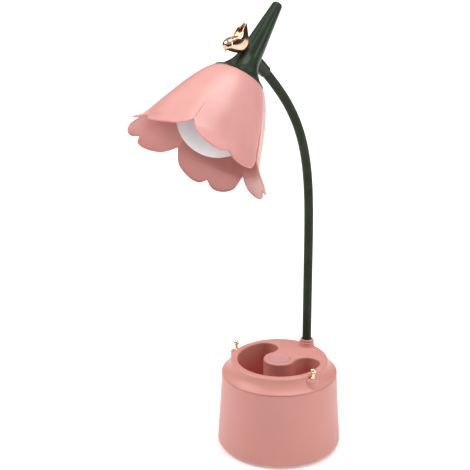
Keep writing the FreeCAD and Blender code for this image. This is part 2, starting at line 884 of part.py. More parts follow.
def neck():
    """Sleeve and wound core of the gooseneck, one of each to a span.

    A span starts with a ball centred on its hinge and ends with the cup for the next one.
    """
    stations = neck_stations()
    turns = neck_turns()
    count = len(turns)
    outer = size("sleeve_radius")
    bore = size("core_radius") + size("core_gap")
    cup = outer + size("cup_gap")
    seat = size("seat_depth")
    relief = ((cup + size("core_relief")) / size("span_length")).value
    for index, turn in enumerate(turns):
        point, lean = stations[index]
        end_point, end_lean = stations[index + 1]
        name = f"neck_sleeve_{index + 1}"
        rod = bent_rod(f"{name}_rod", outer, point, lean, turn)
        hollow = bent_rod(f"{name}_bore", bore, point, lean, turn)
        core = f"neck_core_{index + 1}"
        first = 0.0 if index == 0 else relief
        last = 1.0 if index == count - 1 else 1.0 - relief
        core_rod = bent_rod(f"{core}_rod", size("core_radius"), point, lean, turn, first, last)
        start_frame = lean_frame(point, lean)
        end_frame = lean_frame(end_point, end_lean)
        if index == 0:
            foot = cylinder(f"{name}_foot", outer, seat, start_frame, z=-seat)
            foot_bore = cylinder(f"{name}_foot_bore", bore, seat, start_frame, z=-seat)
            core_foot = cylinder(f"{core}_foot", size("core_radius"), seat, start_frame, z=-seat)
            core_rod = join(f"{core}_long", core_foot, core_rod)
        else:
            foot = sphere(f"{name}_ball", outer, start_frame, high=0)
            foot_bore = cylinder(f"{name}_ball_bore", bore, cup, start_frame, z=-cup)
        parts = [rod, foot]
        tools = [hollow, foot_bore]
        if index == count - 1:
            depth = seat + size("fit_gap")
            parts.append(cylinder(f"{name}_plug", outer, depth, end_frame))
            tools.append(cylinder(f"{name}_plug_bore", bore, depth, end_frame))
            plug = cylinder(f"{core}_plug", size("core_radius"), depth, end_frame)
            core_rod = join(f"{core}_long", core_rod, plug)
        else:
            tools.append(sphere(f"{name}_cup", cup, end_frame))
        keep(cut(name, join(f"{name}_solid", *parts), *tools))
        core_rod.Label = core
        keep(core_rod)


# ---------------------------------------------------------------- head

BEAK_LEAN = 0.35
TAIL_LEAN = 0.1


def head_frame():
    """Frame of the head: origin where the petals part, Z along the axis towards the handle's tip."""
    mouth, lean = neck_stations()[-1]
    tilt = 90.0 - lean - size("ferrule_tilt").value
    turn = Rotation(Vector(1, 0, 0), -tilt)
    offset = turn.multVec(Vector(0, size("ferrule_reach").value, size("ferrule_height").value))
    return Placement(mouth - offset, turn)


def ferrule_frame():
    """Frame at the ferrule's mouth; its Z axis points into the cap."""
    mouth, lean = neck_stations()[-1]
    return lean_frame(mouth, lean)


def head_spots():
    return list(around(3, 30, size("head_screw_circle")))


def ferrule():
    body = new_body("neck_ferrule", ferrule_frame())
    outer = size("ferrule_radius")
    bore = size("sleeve_radius") + size("fit_gap") / 2
    edge = size("ferrule_round")
    revolve(body, [
        (bore, 0),
        (outer - edge, 0),
        (outer, edge, edge),
        (outer, size("ferrule_depth")),
        (size("wire_hole"), size("ferrule_depth")),
        (size("wire_hole"), size("seat_depth") + size("fit_gap")),
        (bore, size("seat_depth") + size("fit_gap")),
    ])
    return keep(body)


def cap(head):
    """Calyx cap that flares from the shade into the handle, hollow inside."""
    body = new_body("cap_turned", head)
    low = size("cap_bottom")
    lip = low + size("cap_lip")
    wall = size("cap_wall")
    foot = size("handle_foot")
    foot_radius = size("handle_foot_radius")
    tip = size("handle_tip")
    tip_round = size("handle_tip_round")
    tip_radius = size("handle_tip_radius")
    revolve(body, [
        (size("cap_radius") - size("cap_seat"), low, size("cap_flare") + wall),
        (size("cap_radius"), low),
        (size("cap_radius"), lip),
        (foot_radius, foot, -size("cap_flare")),
        (tip_radius, tip - tip_round),
        (tip_radius - tip_round, tip, tip_round),
        (0, tip),
        (0, tip - size("handle_plug")),
        (tip_radius - wall, tip - size("handle_plug")),
        (foot_radius - wall, foot),
    ])
    spots = [(x, y, size("head_post_radius")) for x, y in head_spots()]
    pilots = [(x, y, size("head_screw_radius")) for x, y in head_spots()]
    posts = sketch_on(body, "cap_posts", "XY_Plane", circles=spots, level=low)
    pad(body, "cap_post_row", posts, size("head_post_height"))
    holes = sketch_on(body, "cap_pilots", "XY_Plane", circles=pilots, level=low)
    pocket(body, "cap_pilot_row", holes, size("head_post_height"), reversed_side=True)
    bore = cylinder("ferrule_hole", size("ferrule_radius") + size("fit_gap") / 4,
                    size("ferrule_depth"), ferrule_frame())
    return keep(cut("calyx_cap", body, bore))


SWELL_POWER = 0.685
FLATTEN_POWER = 1.5
FLARE_POWER = 1.2
SKIRT = 4.0
SHOULDER = (0.8, 0.64)
CREST = (0.4, 0.7)


def petal_ring(level, petal_radius, valley_radius, shrink):
    """Closed outline of the shade at a level: one arc a petal, from valley to valley."""
    count = int(size("petal_count").value)
    edges = []
    for index in range(count):
        middle = size("petal_phase").value + 360.0 * index / count
        ends = [math.radians(middle + side * 180.0 / count) for side in (-1, 1)]
        centre = math.radians(middle)
        start, finish = [Vector(math.cos(a), math.sin(a), 0) * (valley_radius - shrink) for a in ends]
        crown = Vector(math.cos(centre), math.sin(centre), 0) * (petal_radius - shrink)
        edges.append(Part.Arc(start, crown, finish).toShape())
    ring = Part.Wire(edges)
    ring.translate(Vector(0, 0, level))
    return ring


def shade_levels():
    """Rings of the shade from the cap to the petal tips as (level, petal radius, valley radius).

    Above the junctions the bell swells with a power of the way down, and the middle of each petal
    flattens a little; below them it flares to the tips with a power of the drop.
    """
    top = size("cap_bottom").value
    small = size("shade_top_radius").value
    junction = size("junction_radius").value
    inset = size("crown_inset").value
    notch = size("notch_radius").value
    notch_drop = size("notch_drop").value
    rings = []
    for share in (0.0, 0.04, 0.12, 0.26, 0.48, 0.74, 1.0):
        swell = small + (junction - small) * share ** SWELL_POWER
        rings.append((top * (1 - share), swell - inset * share ** FLATTEN_POWER, swell))
    for share in (0.5, 1.0, (size("lobe_drop").value + SKIRT) / notch_drop):
        flare = share ** FLARE_POWER
        crown = junction - inset + (notch - junction + inset) * flare
        rings.append((-notch_drop * share, crown, junction + (notch - junction) * flare))
    return rings


def petal_tab(width):
    """Outline of one petal below the junctions, seen square on: two lobes with a notch between them."""
    low = -size("lobe_drop").value
    notch = Vector(0, 0, -size("notch_drop").value)
    lobe = size("lobe_offset").value
    corners = {}
    for side in (-1, 1):
        top = Vector(side * width, 0, 0)
        shoulder = Vector(side * width * SHOULDER[0], 0, low * SHOULDER[1])
        bottom = Vector(side * lobe, 0, low)
        crest = Vector(side * lobe * CREST[0], 0, notch.z + (low - notch.z) * CREST[1])
        corners[side] = (top, shoulder, bottom, crest)
    edges = []
    top, shoulder, bottom, crest = corners[-1]
    edges.append(Part.Arc(top, shoulder, bottom).toShape())
    edges.append(Part.Arc(bottom, crest, notch).toShape())
    top, shoulder, bottom, crest = corners[1]
    edges.append(Part.Arc(notch, crest, bottom).toShape())
    edges.append(Part.Arc(bottom, shoulder, top).toShape())
    rise = Vector(0, 0, size("shade_ring").value)
    edges.append(Part.makeLine(corners[1][0], corners[1][0] + rise))
    edges.append(Part.makeLine(corners[1][0] + rise, corners[-1][0] + rise))
    edges.append(Part.makeLine(corners[-1][0] + rise, corners[-1][0]))
    return Part.Face(Part.Wire(Part.__sortEdges__(edges)))


def shade(head):
    """Bell of five petals: a lofted shell closed by a ring at the top and cut to the petals' outline."""
    wall = size("shade_wall").value
    top = size("cap_bottom").value
    rings = shade_levels()
    outer = Part.makeLoft([petal_ring(z, petal, valley, 0) for z, petal, valley in rings], True, False)
    inner = Part.makeLoft([petal_ring(z, petal, valley, wall) for z, petal, valley in rings], True, False)
    ceiling = top - size("shade_ring").value
    reach = size("notch_radius").value * 3
    below = Part.makeBox(reach, reach, ceiling + reach, Vector(-reach / 2, -reach / 2, -reach))
    shell = outer.cut(inner.common(below))
    width = size("junction_radius").value * math.sin(math.radians(180.0 / size("petal_count").value))
    tab = petal_tab(width)
    near = size("petal_start").value
    kept = [Part.makeBox(reach, reach, reach, Vector(-reach / 2, -reach / 2, 0))]
    for index in range(int(size("petal_count").value)):
        prism = tab.extrude(Vector(0, reach, 0))
        prism.translate(Vector(0, near, 0))
        turn = size("petal_phase").value - 90.0 + 360.0 * index / size("petal_count").value
        prism.rotate(Vector(), Vector(0, 0, 1), turn)
        kept.append(prism)
    shell = shell.common(kept[0].multiFuse(kept[1:]))
    holes = [Part.makeCylinder(size("shade_ring_bore").value, size("shade_ring").value * 3,
                               Vector(0, 0, ceiling - size("shade_ring").value))]
    for x, y in head_spots():
        holes.append(Part.makeCylinder(size("head_screw_radius").value + size("fit_gap").value,
                                       size("shade_ring").value * 3,
                                       Vector(x, y, ceiling - size("shade_ring").value)))
    shell = shell.cut(holes[0].multiFuse(holes[1:]))
    return keep(shape_piece("petal_shade", shell, head))


def lamp_dish(head):
    """Spun dish that hangs the light source from the cap."""
    body = new_body("lamp_dish", head)
    top = size("cap_bottom") - size("shade_ring")
    wall = size("dish_wall")
    low = size("dome_level")
    rim = size("dish_radius")
    tube = size("dish_tube")
    revolve(body, [
        (size("wire_hole"), low),
        (rim - wall, low),
        (rim - wall, low - size("dish_lip")),
        (rim, low - size("dish_lip")),
        (rim, low + wall),
        (tube, low + wall),
        (tube, top - wall),
        (size("dish_flange"), top - wall),
        (size("dish_flange"), top),
        (tube - wall, top),
        (tube - wall, low + wall),
        (size("wire_hole"), low + wall),
    ])
    holes = [(x, y, size("head_screw_radius") + size("fit_gap")) for x, y in head_spots()]
    outline = sketch_on(body, "dish_holes", "XY_Plane", circles=holes, level=top)
    pocket(body, "dish_hole_row", outline, wall)
    return keep(body)


def light_source(head):
    low = size("dome_level")
    board_low = low - size("led_board_thickness")
    keep(cylinder("led_board", size("led_board_radius"), size("led_board_thickness"), head, z=board_low))
    half = size("led_side").value / 2
    chips = []
    for index, (x, y) in enumerate(around(int(size("led_count").value), 0, size("led_ring"))):
        chips.append(box(f"led_{index}", size("led_side"), size("led_side"), size("led_thickness"), head,
                         x - half, y - half, board_low - size("led_thickness")))
    keep(group("led_chips", *chips))
    outer = sphere("dome_outer", size("dome_radius"), head, z=low, high=0)
    inner = sphere("dome_inner", size("dome_radius") - size("dome_wall"), head, z=low)
    keep(cut("diffuser_dome", outer, inner))
    fasteners("head_screws", head_spots(), head,
              size("cap_bottom") - size("shade_ring") - size("dish_wall") - size("head_screw_head_height"),
              size("head_screw_head"), size("head_screw_head_height"),
              size("head_screw_radius") - size("fit_gap") / 4, size("head_screw_length"))


def bird(head, cap_piece):
    """Small bird facing forward: body, head, beak and raised tail, seated on the foot of the handle."""
    pitch = math.radians(size("bird_pitch").value)
    forward = Vector(0, -math.cos(pitch), -math.sin(pitch))
    upward = Vector(0, -math.sin(pitch), math.cos(pitch))
    centre = Vector(0, -size("bird_out").value, size("bird_height").value)
    body = Part.makeSphere(1.0)
    squash = FreeCAD.Matrix()
    squash.scale(size("bird_width").value, size("bird_length").value, size("bird_depth").value)
    body = body.transformGeometry(squash)
    body.Placement = Placement(centre, Rotation(Vector(1, 0, 0), size("bird_pitch").value))
    crown = centre + forward * size("bird_neck").value + upward * size("bird_nod").value
    skull = Part.makeSphere(size("bird_head_radius").value, crown)
    beak = Part.makeCone(size("bird_beak_root").value, size("bird_beak_tip").value,
                         size("bird_beak").value, crown, forward * BEAK_LEAN - upward)
    root = centre - forward * size("bird_tail_back").value
    tail = Part.makeCone(size("bird_tail_root").value, size("bird_tail_tip").value,
                         size("bird_tail").value, root, upward - forward * TAIL_LEAN)
    whole = body.multiFuse([skull, beak, tail])
    doc.recompute()
    handle = cap_piece.Shape.copy()
    whole.Placement = head
    return keep(shape_piece("bird", whole.cut(handle).removeSplitter()))


def build():
    base_shell()
    top_cover()
    ear_pin("ear_pin_left", -1)
    ear_pin("ear_pin_right", 1)
    touch_parts()
    neck_mount()
    bottom_cover()
    base_contents()
    neck()
    head = head_frame()
    ferrule()
    cap_piece = cap(head)
    shade(head)
    lamp_dish(head)
    light_source(head)
    bird(head, cap_piece)


def check_and_write():
    doc.recompute()
    for thing in doc.Objects:
        if "Invalid" in thing.State or "Error" in thing.State:
            raise RuntimeError(f"{thing.Label} failed: {thing.State}")
    for feature in cuts:
        base = feature.BaseFeature if hasattr(feature, "BaseFeature") else feature.Base
        if not feature.Shape.Volume < base.Shape.Volume:
            raise RuntimeError(f"{feature.Label} cuts nothing")
    os.makedirs("parts", exist_ok=True)
    for label, piece in nodes.items():
        shape = piece.Shape
        if shape.isNull() or not shape.isValid() or not shape.Solids:
            raise RuntimeError(f"{label} is not a valid solid")
        shape.exportStep(f"parts/{label}.step")
    print(len(nodes), "sub-parts written")
    for index, (point, lean) in enumerate(neck_stations()):
        print("station", index, round(point.y, 4), round(point.z, 4), "lean", round(lean, 4))
    head = head_frame()
    print("head", round(head.Base.y, 4), round(head.Base.z, 4), "tilt", round(math.degrees(head.Rotation.Angle), 4))


build()
check_and_write()
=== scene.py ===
import math

import bmesh
import bpy
import numpy as np
from mathutils import Matrix, Vector
from mathutils.kdtree import KDTree


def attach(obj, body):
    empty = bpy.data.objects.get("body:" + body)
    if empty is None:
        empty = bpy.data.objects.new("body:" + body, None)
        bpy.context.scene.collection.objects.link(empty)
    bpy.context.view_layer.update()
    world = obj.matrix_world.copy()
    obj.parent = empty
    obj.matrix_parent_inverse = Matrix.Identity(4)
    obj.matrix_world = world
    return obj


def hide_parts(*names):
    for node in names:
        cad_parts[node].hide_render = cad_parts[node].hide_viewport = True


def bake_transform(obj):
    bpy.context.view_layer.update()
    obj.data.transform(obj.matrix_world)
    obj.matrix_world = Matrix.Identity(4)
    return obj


# Flower desk lamp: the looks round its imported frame. Shapes are worked out in millimetres in the lamp's
# frame (+Z up, -Y the front) and put into each mesh in metres.

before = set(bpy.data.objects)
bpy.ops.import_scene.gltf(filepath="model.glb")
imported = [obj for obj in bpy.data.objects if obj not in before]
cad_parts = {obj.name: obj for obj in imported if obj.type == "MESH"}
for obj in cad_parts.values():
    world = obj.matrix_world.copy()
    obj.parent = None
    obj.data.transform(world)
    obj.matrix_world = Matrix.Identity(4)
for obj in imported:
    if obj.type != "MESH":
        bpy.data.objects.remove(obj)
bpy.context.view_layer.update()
MM = 0.001
TURN = 2 * math.pi


# ---------------------------------------------------------------- frames and small helpers


HEAD_ORIGIN = np.array([0.0, -101.9605, 317.9833])
HEAD_TILT = math.radians(-42.5)


def about_x(angle):
    """Rotation by an angle about X, as a matrix for column vectors."""
    c, s = math.cos(angle), math.sin(angle)
    return np.array([[1, 0, 0], [0, c, -s], [0, s, c]])


def placed(points, turn, origin):
    """Points turned by a matrix and moved to an origin."""
    return points @ turn.T + origin


def in_head(points):
    """Points of the head's frame, in the lamp's frame."""
    return placed(points, about_x(HEAD_TILT), HEAD_ORIGIN)


def smooth_step(low, high, x):
    """0 at low, 1 at high and a smooth S between, held outside them; low may be above high."""
    t = np.clip((x - low) / (high - low), 0, 1)
    return t * t * (3 - 2 * t)


def smooth_through(xs, ys, x):
    """Cubic Hermite curve through (xs, ys), its slopes the mean slopes of the neighbouring stretches."""
    xs, ys = np.asarray(xs, float), np.asarray(ys, float)
    slopes = np.gradient(ys, xs, axis=0)
    i = np.clip(np.searchsorted(xs, x) - 1, 0, len(xs) - 2)
    width = xs[i + 1] - xs[i]
    t = (x - xs[i]) / width
    if ys.ndim > 1:
        width, t = width[:, None], t[:, None]
    a = (1 + 2 * t) * (1 - t) ** 2 * ys[i] + t * (1 - t) ** 2 * width * slopes[i]
    return a + t * t * (3 - 2 * t) * ys[i + 1] + t * t * (t - 1) * width * slopes[i + 1]


def rounded(corners, steps=7, guard=0.25):
    """Outline through corners (x, y, radius): each corner becomes an arc, with guard points beside it.

    The arc touches both runs at radius * tan(half the turn) from the corner.
    """
    corners = [tuple(c) + (0.0,) * (3 - len(c)) for c in corners]
    out = []
    for k, (x, y, radius) in enumerate(corners):
        here = np.array([x, y])
        if k in (0, len(corners) - 1):
            out.append(here[None])
            continue
        before = np.array(corners[k - 1][:2]) - here
        after = np.array(corners[k + 1][:2]) - here
        before /= np.linalg.norm(before)
        after /= np.linalg.norm(after)
        if radius <= 0:
            out.append(np.array([here + before * guard, here, here + after * guard]))
            continue
        half = math.acos(np.clip(before @ after, -1, 1)) / 2
        reach = radius / math.tan(half)
        centre = here + (before + after) / np.linalg.norm(before + after) * radius / math.sin(half)
        first, last = here + before * reach - centre, here + after * reach - centre
        sweep = math.pi - 2 * half
        t = np.linspace(0, 1, steps)[:, None]
        arc = (np.sin((1 - t) * sweep) * first + np.sin(t * sweep) * last) / math.sin(sweep) + centre
        out += [(here + before * (reach + guard))[None], arc, (here + after * (reach + guard))[None]]
    return np.vstack(out)


def sagged(start, finish, radius, steps=24):
    """Points after start on the arc of a radius to finish; a positive radius turns left."""
    start, finish = np.asarray(start, float), np.asarray(finish, float)
    chord = finish - start
    length = np.linalg.norm(chord)
    side = np.array([-chord[1], chord[0]]) / length
    centre = (start + finish) / 2 + side * math.copysign(math.sqrt(radius ** 2 - length ** 2 / 4), radius)
    a, b = start - centre, finish - centre
    sweep = 2 * math.asin(length / 2 / abs(radius))
    t = np.linspace(0, 1, steps)[1:, None]
    return (np.sin((1 - t) * sweep) * a + np.sin(t * sweep) * b) / math.sin(sweep) + centre


# ---------------------------------------------------------------- meshes


MERGE = 2e-6
DEGENERATE = 1e-7
SHARP_ANGLE = 42.0


def make_mesh(name, points, faces, smooth_angle=SHARP_ANGLE):
    """Object at the origin from points in millimetres: points closer than MERGE metres joined, normals
    outwards, edges sharp where the surface turns by more than the smooth angle in degrees."""
    mesh = bpy.data.meshes.new(name)
    mesh.from_pydata(points * MM, [], faces)
    bm = bmesh.new()
    bm.from_mesh(mesh)
    bmesh.ops.remove_doubles(bm, verts=bm.verts, dist=MERGE)
    bmesh.ops.dissolve_degenerate(bm, edges=bm.edges, dist=DEGENERATE)
    bmesh.ops.recalc_face_normals(bm, faces=bm.faces)
    bm.to_mesh(mesh)
    bm.free()
    mesh.shade_smooth()
    mesh.set_sharp_from_angle(angle=math.radians(smooth_angle))
    piece = bpy.data.objects.new(name, mesh)
    bpy.context.scene.collection.objects.link(piece)
    return piece


def points_of(mesh):
    """Places of a mesh's points in its own units, a row each."""
    places = np.empty(len(mesh.vertices) * 3)
    mesh.vertices.foreach_get("co", places)
    return places.reshape(-1, 3)


def add_attribute(piece, name, values):
    """Number on each point of a piece, for its finish to read."""
    made = piece.data.attributes.new(name, "FLOAT", "POINT")
    made.data.foreach_set("value", values.astype(np.float32))


def grid_faces(rows, columns, wrap_rows=False, wrap_columns=False, start=0):
    """Quads of a grid of points, row after row; a wrapped side joins its last line to its first."""
    i = np.arange(rows if wrap_rows else rows - 1)
    j = np.arange(columns if wrap_columns else columns - 1)
    i, j = np.meshgrid(i, j, indexing="ij")
    k, m = (i + 1) % rows, (j + 1) % columns
    quads = np.stack([i * columns + j, k * columns + j, k * columns + m, i * columns + m], -1)
    return quads.reshape(-1, 4) + start


def surface(name, grid, wrap_rows=False, wrap_columns=False, caps=(), smooth_angle=SHARP_ANGLE):
    """Piece from a grid of points (rows, columns, 3); caps names the rows (0 or -1) that a face closes."""
    rows, columns = grid.shape[:2]
    faces = grid_faces(rows, columns, wrap_rows, wrap_columns).tolist()
    for row in caps:
        first = (rows - 1) * columns if row else 0
        faces.append(list(range(first, first + columns)))
    return make_mesh(name, grid.reshape(-1, 3), faces, smooth_angle)


def spun(profile, count):
    """Profile (radius, height) carried round the Z axis: x = r sin a, y = -r cos a, z = h."""
    angle = np.linspace(0, TURN, count, endpoint=False)
    radius, height = profile[:, 0][:, None], profile[:, 1][:, None]
    return np.stack([radius * np.sin(angle), -radius * np.cos(angle), height + 0 * angle], -1)


def turned(name, profile, count, place=None, closed=False):
    """Turned piece from a profile that starts and ends on the axis, or is a closed ring."""
    grid = spun(np.asarray(profile, float), count)
    if place is not None:
        grid = place(grid)
    return surface(name, grid, wrap_rows=closed, wrap_columns=True)


def dress(piece, finish, body, *nodes, slot=None):
    """Give a piece its material, body and the nodes that it stands for; the slot is not used."""
    piece.data.materials.clear()
    piece.data.materials.append(finish)
    if body:
        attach(piece, body)
    if nodes:
        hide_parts(*nodes)
    return piece


# ---------------------------------------------------------------- material nodes


class Value:
    """A number socket: arithmetic on it adds Math nodes to its tree."""

    def __init__(self, tree, socket):
        self.tree = tree
        self.socket = socket

    def math(self, operation, *others):
        return self.tree.math(operation, self, *others)

    def __add__(self, other):
        return self.math("ADD", other)

    def __sub__(self, other):
        return self.math("SUBTRACT", other)

    def __rsub__(self, other):
        return self.tree.math("SUBTRACT", other, self)

    def __mul__(self, other):
        return self.math("MULTIPLY", other)

    def ramp(self, low, high):
        """0 at low, 1 at high, smooth between and clamped outside."""
        settings = {"interpolation_type": "SMOOTHSTEP"}
        return Value(self.tree, self.tree.node("ShaderNodeMapRange", settings, {
            "Value": self, "From Min": low, "From Max": high}).outputs["Result"])

    __radd__ = __add__
    __rmul__ = __mul__


class Tree:
    """Node tree of a material."""

    def __init__(self, name):
        self.material = bpy.data.materials.new(name)
        self.material.use_nodes = True
        self.tree = self.material.node_tree
        self.tree.nodes.clear()
        self.place = self.node("ShaderNodeTexCoord").outputs["Object"]

    def node(self, kind, settings=None, inputs=None):
        """A node of a type, its settings first and then the values or links of its sockets."""
        made = self.tree.nodes.new(kind)
        for key, value in (settings or {}).items():
            setattr(made, key, value)
        for key, value in (inputs or {}).items():
            if isinstance(value, Value):
                value = value.socket
            if isinstance(value, bpy.types.NodeSocket):
                self.tree.links.new(value, made.inputs[key])
            else:
                made.inputs[key].default_value = value
        return made

    def math(self, operation, *terms):
        """Math node on numbers and values."""
        inputs = dict(enumerate(terms))
        return Value(self, self.node("ShaderNodeMath", {"operation": operation}, inputs).outputs[0])

    def noise(self, scale, detail=3.0, roughness=0.55, stretch=None):
        """Noise in object space, scale in features per metre; stretch scales each axis first."""
        place = self.place
        if stretch:
            place = self.node("ShaderNodeMapping", None, {"Vector": place, "Scale": stretch}).outputs[0]
        made = self.node("ShaderNodeTexNoise", None, {
            "Vector": place, "Scale": scale, "Detail": detail, "Roughness": roughness})
        return Value(self, made.outputs["Fac"])

    def attribute(self, name):
        """A piece's own number by name, 0 where it has none."""
        return Value(self, self.node("ShaderNodeAttribute", {"attribute_name": name}).outputs["Fac"])

    def blend(self, factor, first, second):
        """Mix of two colours by a factor."""
        made = self.node("ShaderNodeMix", {"data_type": "RGBA"}, {"Factor": factor})
        for socket, colour in ((made.inputs[6], first), (made.inputs[7], second)):
            if isinstance(colour, bpy.types.NodeSocket):
                self.tree.links.new(colour, socket)
            else:
                socket.default_value = (*colour, 1.0)
        return made.outputs[2]

    def bump(self, height, distance, strength=1.0):
        """Bump by a height of up to distance metres."""
        return self.node("ShaderNodeBump", None, {
            "Strength": strength, "Distance": distance, "Height": height}).outputs["Normal"]

    def finish(self, colour, roughness, normal=None, **fixed):
        """Principled shader on the output; fixed holds the sockets that are the same all over."""
        inputs = {"Base Color": colour if isinstance(colour, bpy.types.NodeSocket) else (*colour, 1.0),
                  "Roughness": roughness}
        for key, value in fixed.items():
            inputs[key.replace("_", " ").title().replace("Ior", "IOR")] = value
        if normal is not None:
            inputs["Normal"] = normal
        shader = self.node("ShaderNodeBsdfPrincipled", None, inputs)
        self.node("ShaderNodeOutputMaterial", None, {"Surface": shader.outputs[0]})
        return self.material


def rgb(red, green, blue):
    """Linear colour of an 8-bit screen colour."""
    share = np.array([red, green, blue]) / 255.0
    return tuple(np.where(share <= 0.04045, share / 12.92, ((share + 0.055) / 1.055) ** 2.4).tolist())


def satin_plastic(name, light, dark, roughness, grain=2400.0, relief=0.00002, painted_hollow_shade=None, **fixed):
    """Moulded plastic: faint cloudy shifts of colour, a fine spark-etched grain and uneven gloss.

    A painted-shade colour takes over where its mask attribute is 1, down in a hollow, standing in for the
    shade and bounced light there.
    """
    tree = Tree(name)
    cloud = tree.noise(22.0, 3.0)
    specks = tree.noise(grain, 2.0, 0.6)
    colour = tree.blend(cloud.ramp(0.2, 0.8) * 0.7 + specks * 0.2, light, dark)
    # Painted shade: the hollow's colour blended in by its mask.
    if painted_hollow_shade:
        colour = tree.blend(tree.attribute("painted_hollow_shade"), colour, painted_hollow_shade)
    gloss = cloud * 0.06 + specks * 0.06 + (roughness - 0.06)
    return tree.finish(colour, gloss, tree.bump(specks, relief, 0.5), **fixed)


def petal_plastic():
    """Thin shade plastic: cloudy mottling and a fine grain, with painted shade: a deeper pink along the
    petals' rim edges and up the junction grooves, and a darker pink on the inner faces.
    """
    tree = Tree("petal_pink")
    cloud = tree.noise(30.0, 4.0)
    specks = tree.noise(2600.0, 2.0, 0.6)
    body = tree.blend(cloud.ramp(0.3, 0.7) * 0.7 + specks * 0.15, rgb(216, 156, 149), rgb(209, 146, 138))
    # Painted shade: deeper pink along the rim edges and up the junction grooves.
    rim = tree.attribute("rim")
    colour = tree.blend(rim * 0.75, body, rgb(216, 138, 131))
    # Painted shade: a darker pink on the bell's inner faces.
    inner = tree.attribute("inside")
    colour = tree.blend(inner * 0.85, colour, rgb(188, 117, 108))
    gloss = cloud * 0.08 + specks * 0.06 + 0.27
    return tree.finish(colour, gloss, tree.bump(specks, 0.00002, 0.5), subsurface_weight=0.06,
                       subsurface_scale=0.004, coat_weight=0.2, coat_roughness=0.22)


def sleeve_rubber():
    """Silicone sleeve: dark olive, faintly ribbed by the wound core below, with dusty matt patches."""
    tree = Tree("sleeve_green")
    cloud = tree.noise(60.0, 4.0)
    along = tree.attribute("along")
    rib = (along * (TURN / 2.4)).math("SINE")
    specks = tree.noise(3000.0, 2.0)
    colour = tree.blend(cloud.ramp(0.35, 0.7), rgb(50, 56, 41), rgb(38, 45, 32))
    normal = tree.bump(rib * 0.5 + specks * 0.3, 0.00003, 0.6)
    return tree.finish(colour, cloud * 0.1 + specks * 0.06 + 0.40, normal, specular_ior_level=0.1)


def calyx_plastic():
    """Glossy dark green: streaks along the handle, a soft orange-peel skin and a paler band along the
    flange's bottom edge.
    """
    tree = Tree("calyx_green")
    streak = tree.noise(70.0, 5.0, 0.6, stretch=(1.6, 0.7, 0.7))
    peel = tree.noise(420.0, 2.0, 0.5)
    specks = tree.noise(2600.0, 2.0)
    body = tree.blend(streak.ramp(0.3, 0.72), rgb(42, 56, 38), rgb(32, 44, 29))
    colour = tree.blend(tree.attribute("rim") * 0.5, body, rgb(62, 76, 58))
    normal = tree.bump(peel * 0.7 + specks * 0.2, 0.00006, 0.5)
    return tree.finish(colour, peel * 0.1 + specks * 0.05 + 0.17, normal, specular_ior_level=0.22)


def mirror_metal(name, light, dark, roughness):
    """Polished plating: a very fine brushed haze and slight tarnish in broad patches."""
    tree = Tree(name)
    tarnish = tree.noise(120.0, 4.0)
    haze = tree.noise(1800.0, 3.0, 0.6, stretch=(1.0, 0.25, 1.0))
    colour = tree.blend(tarnish.ramp(0.35, 0.75) * 0.6, light, dark)
    return tree.finish(colour, haze * 0.06 + tarnish * 0.04 + roughness, tree.bump(haze, 0.00001, 0.2),
                       metallic=1.0)


def worked_metal(name, light, dark, roughness):
    """Plated steel or cast metal: streaked tone and fine tool marks."""
    tree = Tree(name)
    marks = tree.noise(900.0, 4.0, 0.6, stretch=(1.0, 1.0, 12.0))
    stain = tree.noise(110.0, 4.0)
    colour = tree.blend(marks * 0.6 + stain * 0.4, light, dark)
    return tree.finish(colour, stain * 0.15 + marks * 0.1 + roughness, tree.bump(marks, 0.00004, 0.4),
                       metallic=0.9)


def opal_plastic():
    """Opal diffuser: milky and faintly cloudy, with a fine frosted skin."""
    tree = Tree("opal")
    cloud = tree.noise(40.0, 3.0)
    frost = tree.noise(3200.0, 2.0)
    colour = tree.blend(cloud.ramp(0.3, 0.7), rgb(196, 191, 192), rgb(188, 183, 185))
    return tree.finish(colour, frost * 0.12 + 0.4, tree.bump(frost, 0.00002, 0.4),
                       subsurface_weight=0.15, subsurface_scale=0.006)


def board_green():
    """Circuit board: green mask over copper tracks, with tinned pads."""
    tree = Tree("board_green")
    tracks = tree.node("ShaderNodeTexBrick", {"offset": 0.37}, {
        "Vector": tree.place, "Scale": 320.0, "Mortar Size": 0.035, "Mortar Smooth": 0.3})
    track = Value(tree, tracks.outputs["Fac"])
    cells = tree.node("ShaderNodeTexVoronoi", None, {"Vector": tree.place, "Scale": 420.0})
    pads = 1 - Value(tree, cells.outputs["Distance"]).ramp(0.10, 0.16)
    mask = tree.blend(track, rgb(16, 92, 50), rgb(46, 130, 72))
    colour = tree.blend(pads, mask, rgb(196, 192, 180))
    return tree.finish(colour, 0.45 - pads * 0.15, tree.bump(track + pads, 0.00004), coat_weight=0.3)


# ---------------------------------------------------------------- finishes


# Painted shade: a redder pink down in the pen well stands in for the shade and bounced light of the hollow.
pot_pink = satin_plastic("pot_pink", rgb(208, 143, 133), rgb(203, 137, 126), 0.44, painted_hollow_shade=rgb(222, 118, 106),
                         coat_weight=0.06, coat_roughness=0.3)
petal_pink = petal_plastic()
sleeve_green = sleeve_rubber()
calyx_green = calyx_plastic()
rose_mirror = mirror_metal("rose_mirror", rgb(232, 198, 168), rgb(204, 164, 134), 0.04)
pin_mirror = mirror_metal("pin_mirror", rgb(244, 220, 192), rgb(212, 180, 148), 0.08)
button_gloss = satin_plastic("button_lilac", rgb(208, 152, 152), rgb(200, 143, 144), 0.30,
                             coat_weight=0.4, coat_roughness=0.1)
opal = opal_plastic()
steel = worked_metal("steel", rgb(196, 197, 200), rgb(160, 161, 165), 0.25)
core_steel = worked_metal("core_steel", rgb(120, 121, 124), rgb(84, 85, 88), 0.3)
lamp_enamel = satin_plastic("lamp_enamel", rgb(236, 234, 230), rgb(226, 224, 220), 0.35, coat_weight=0.2)
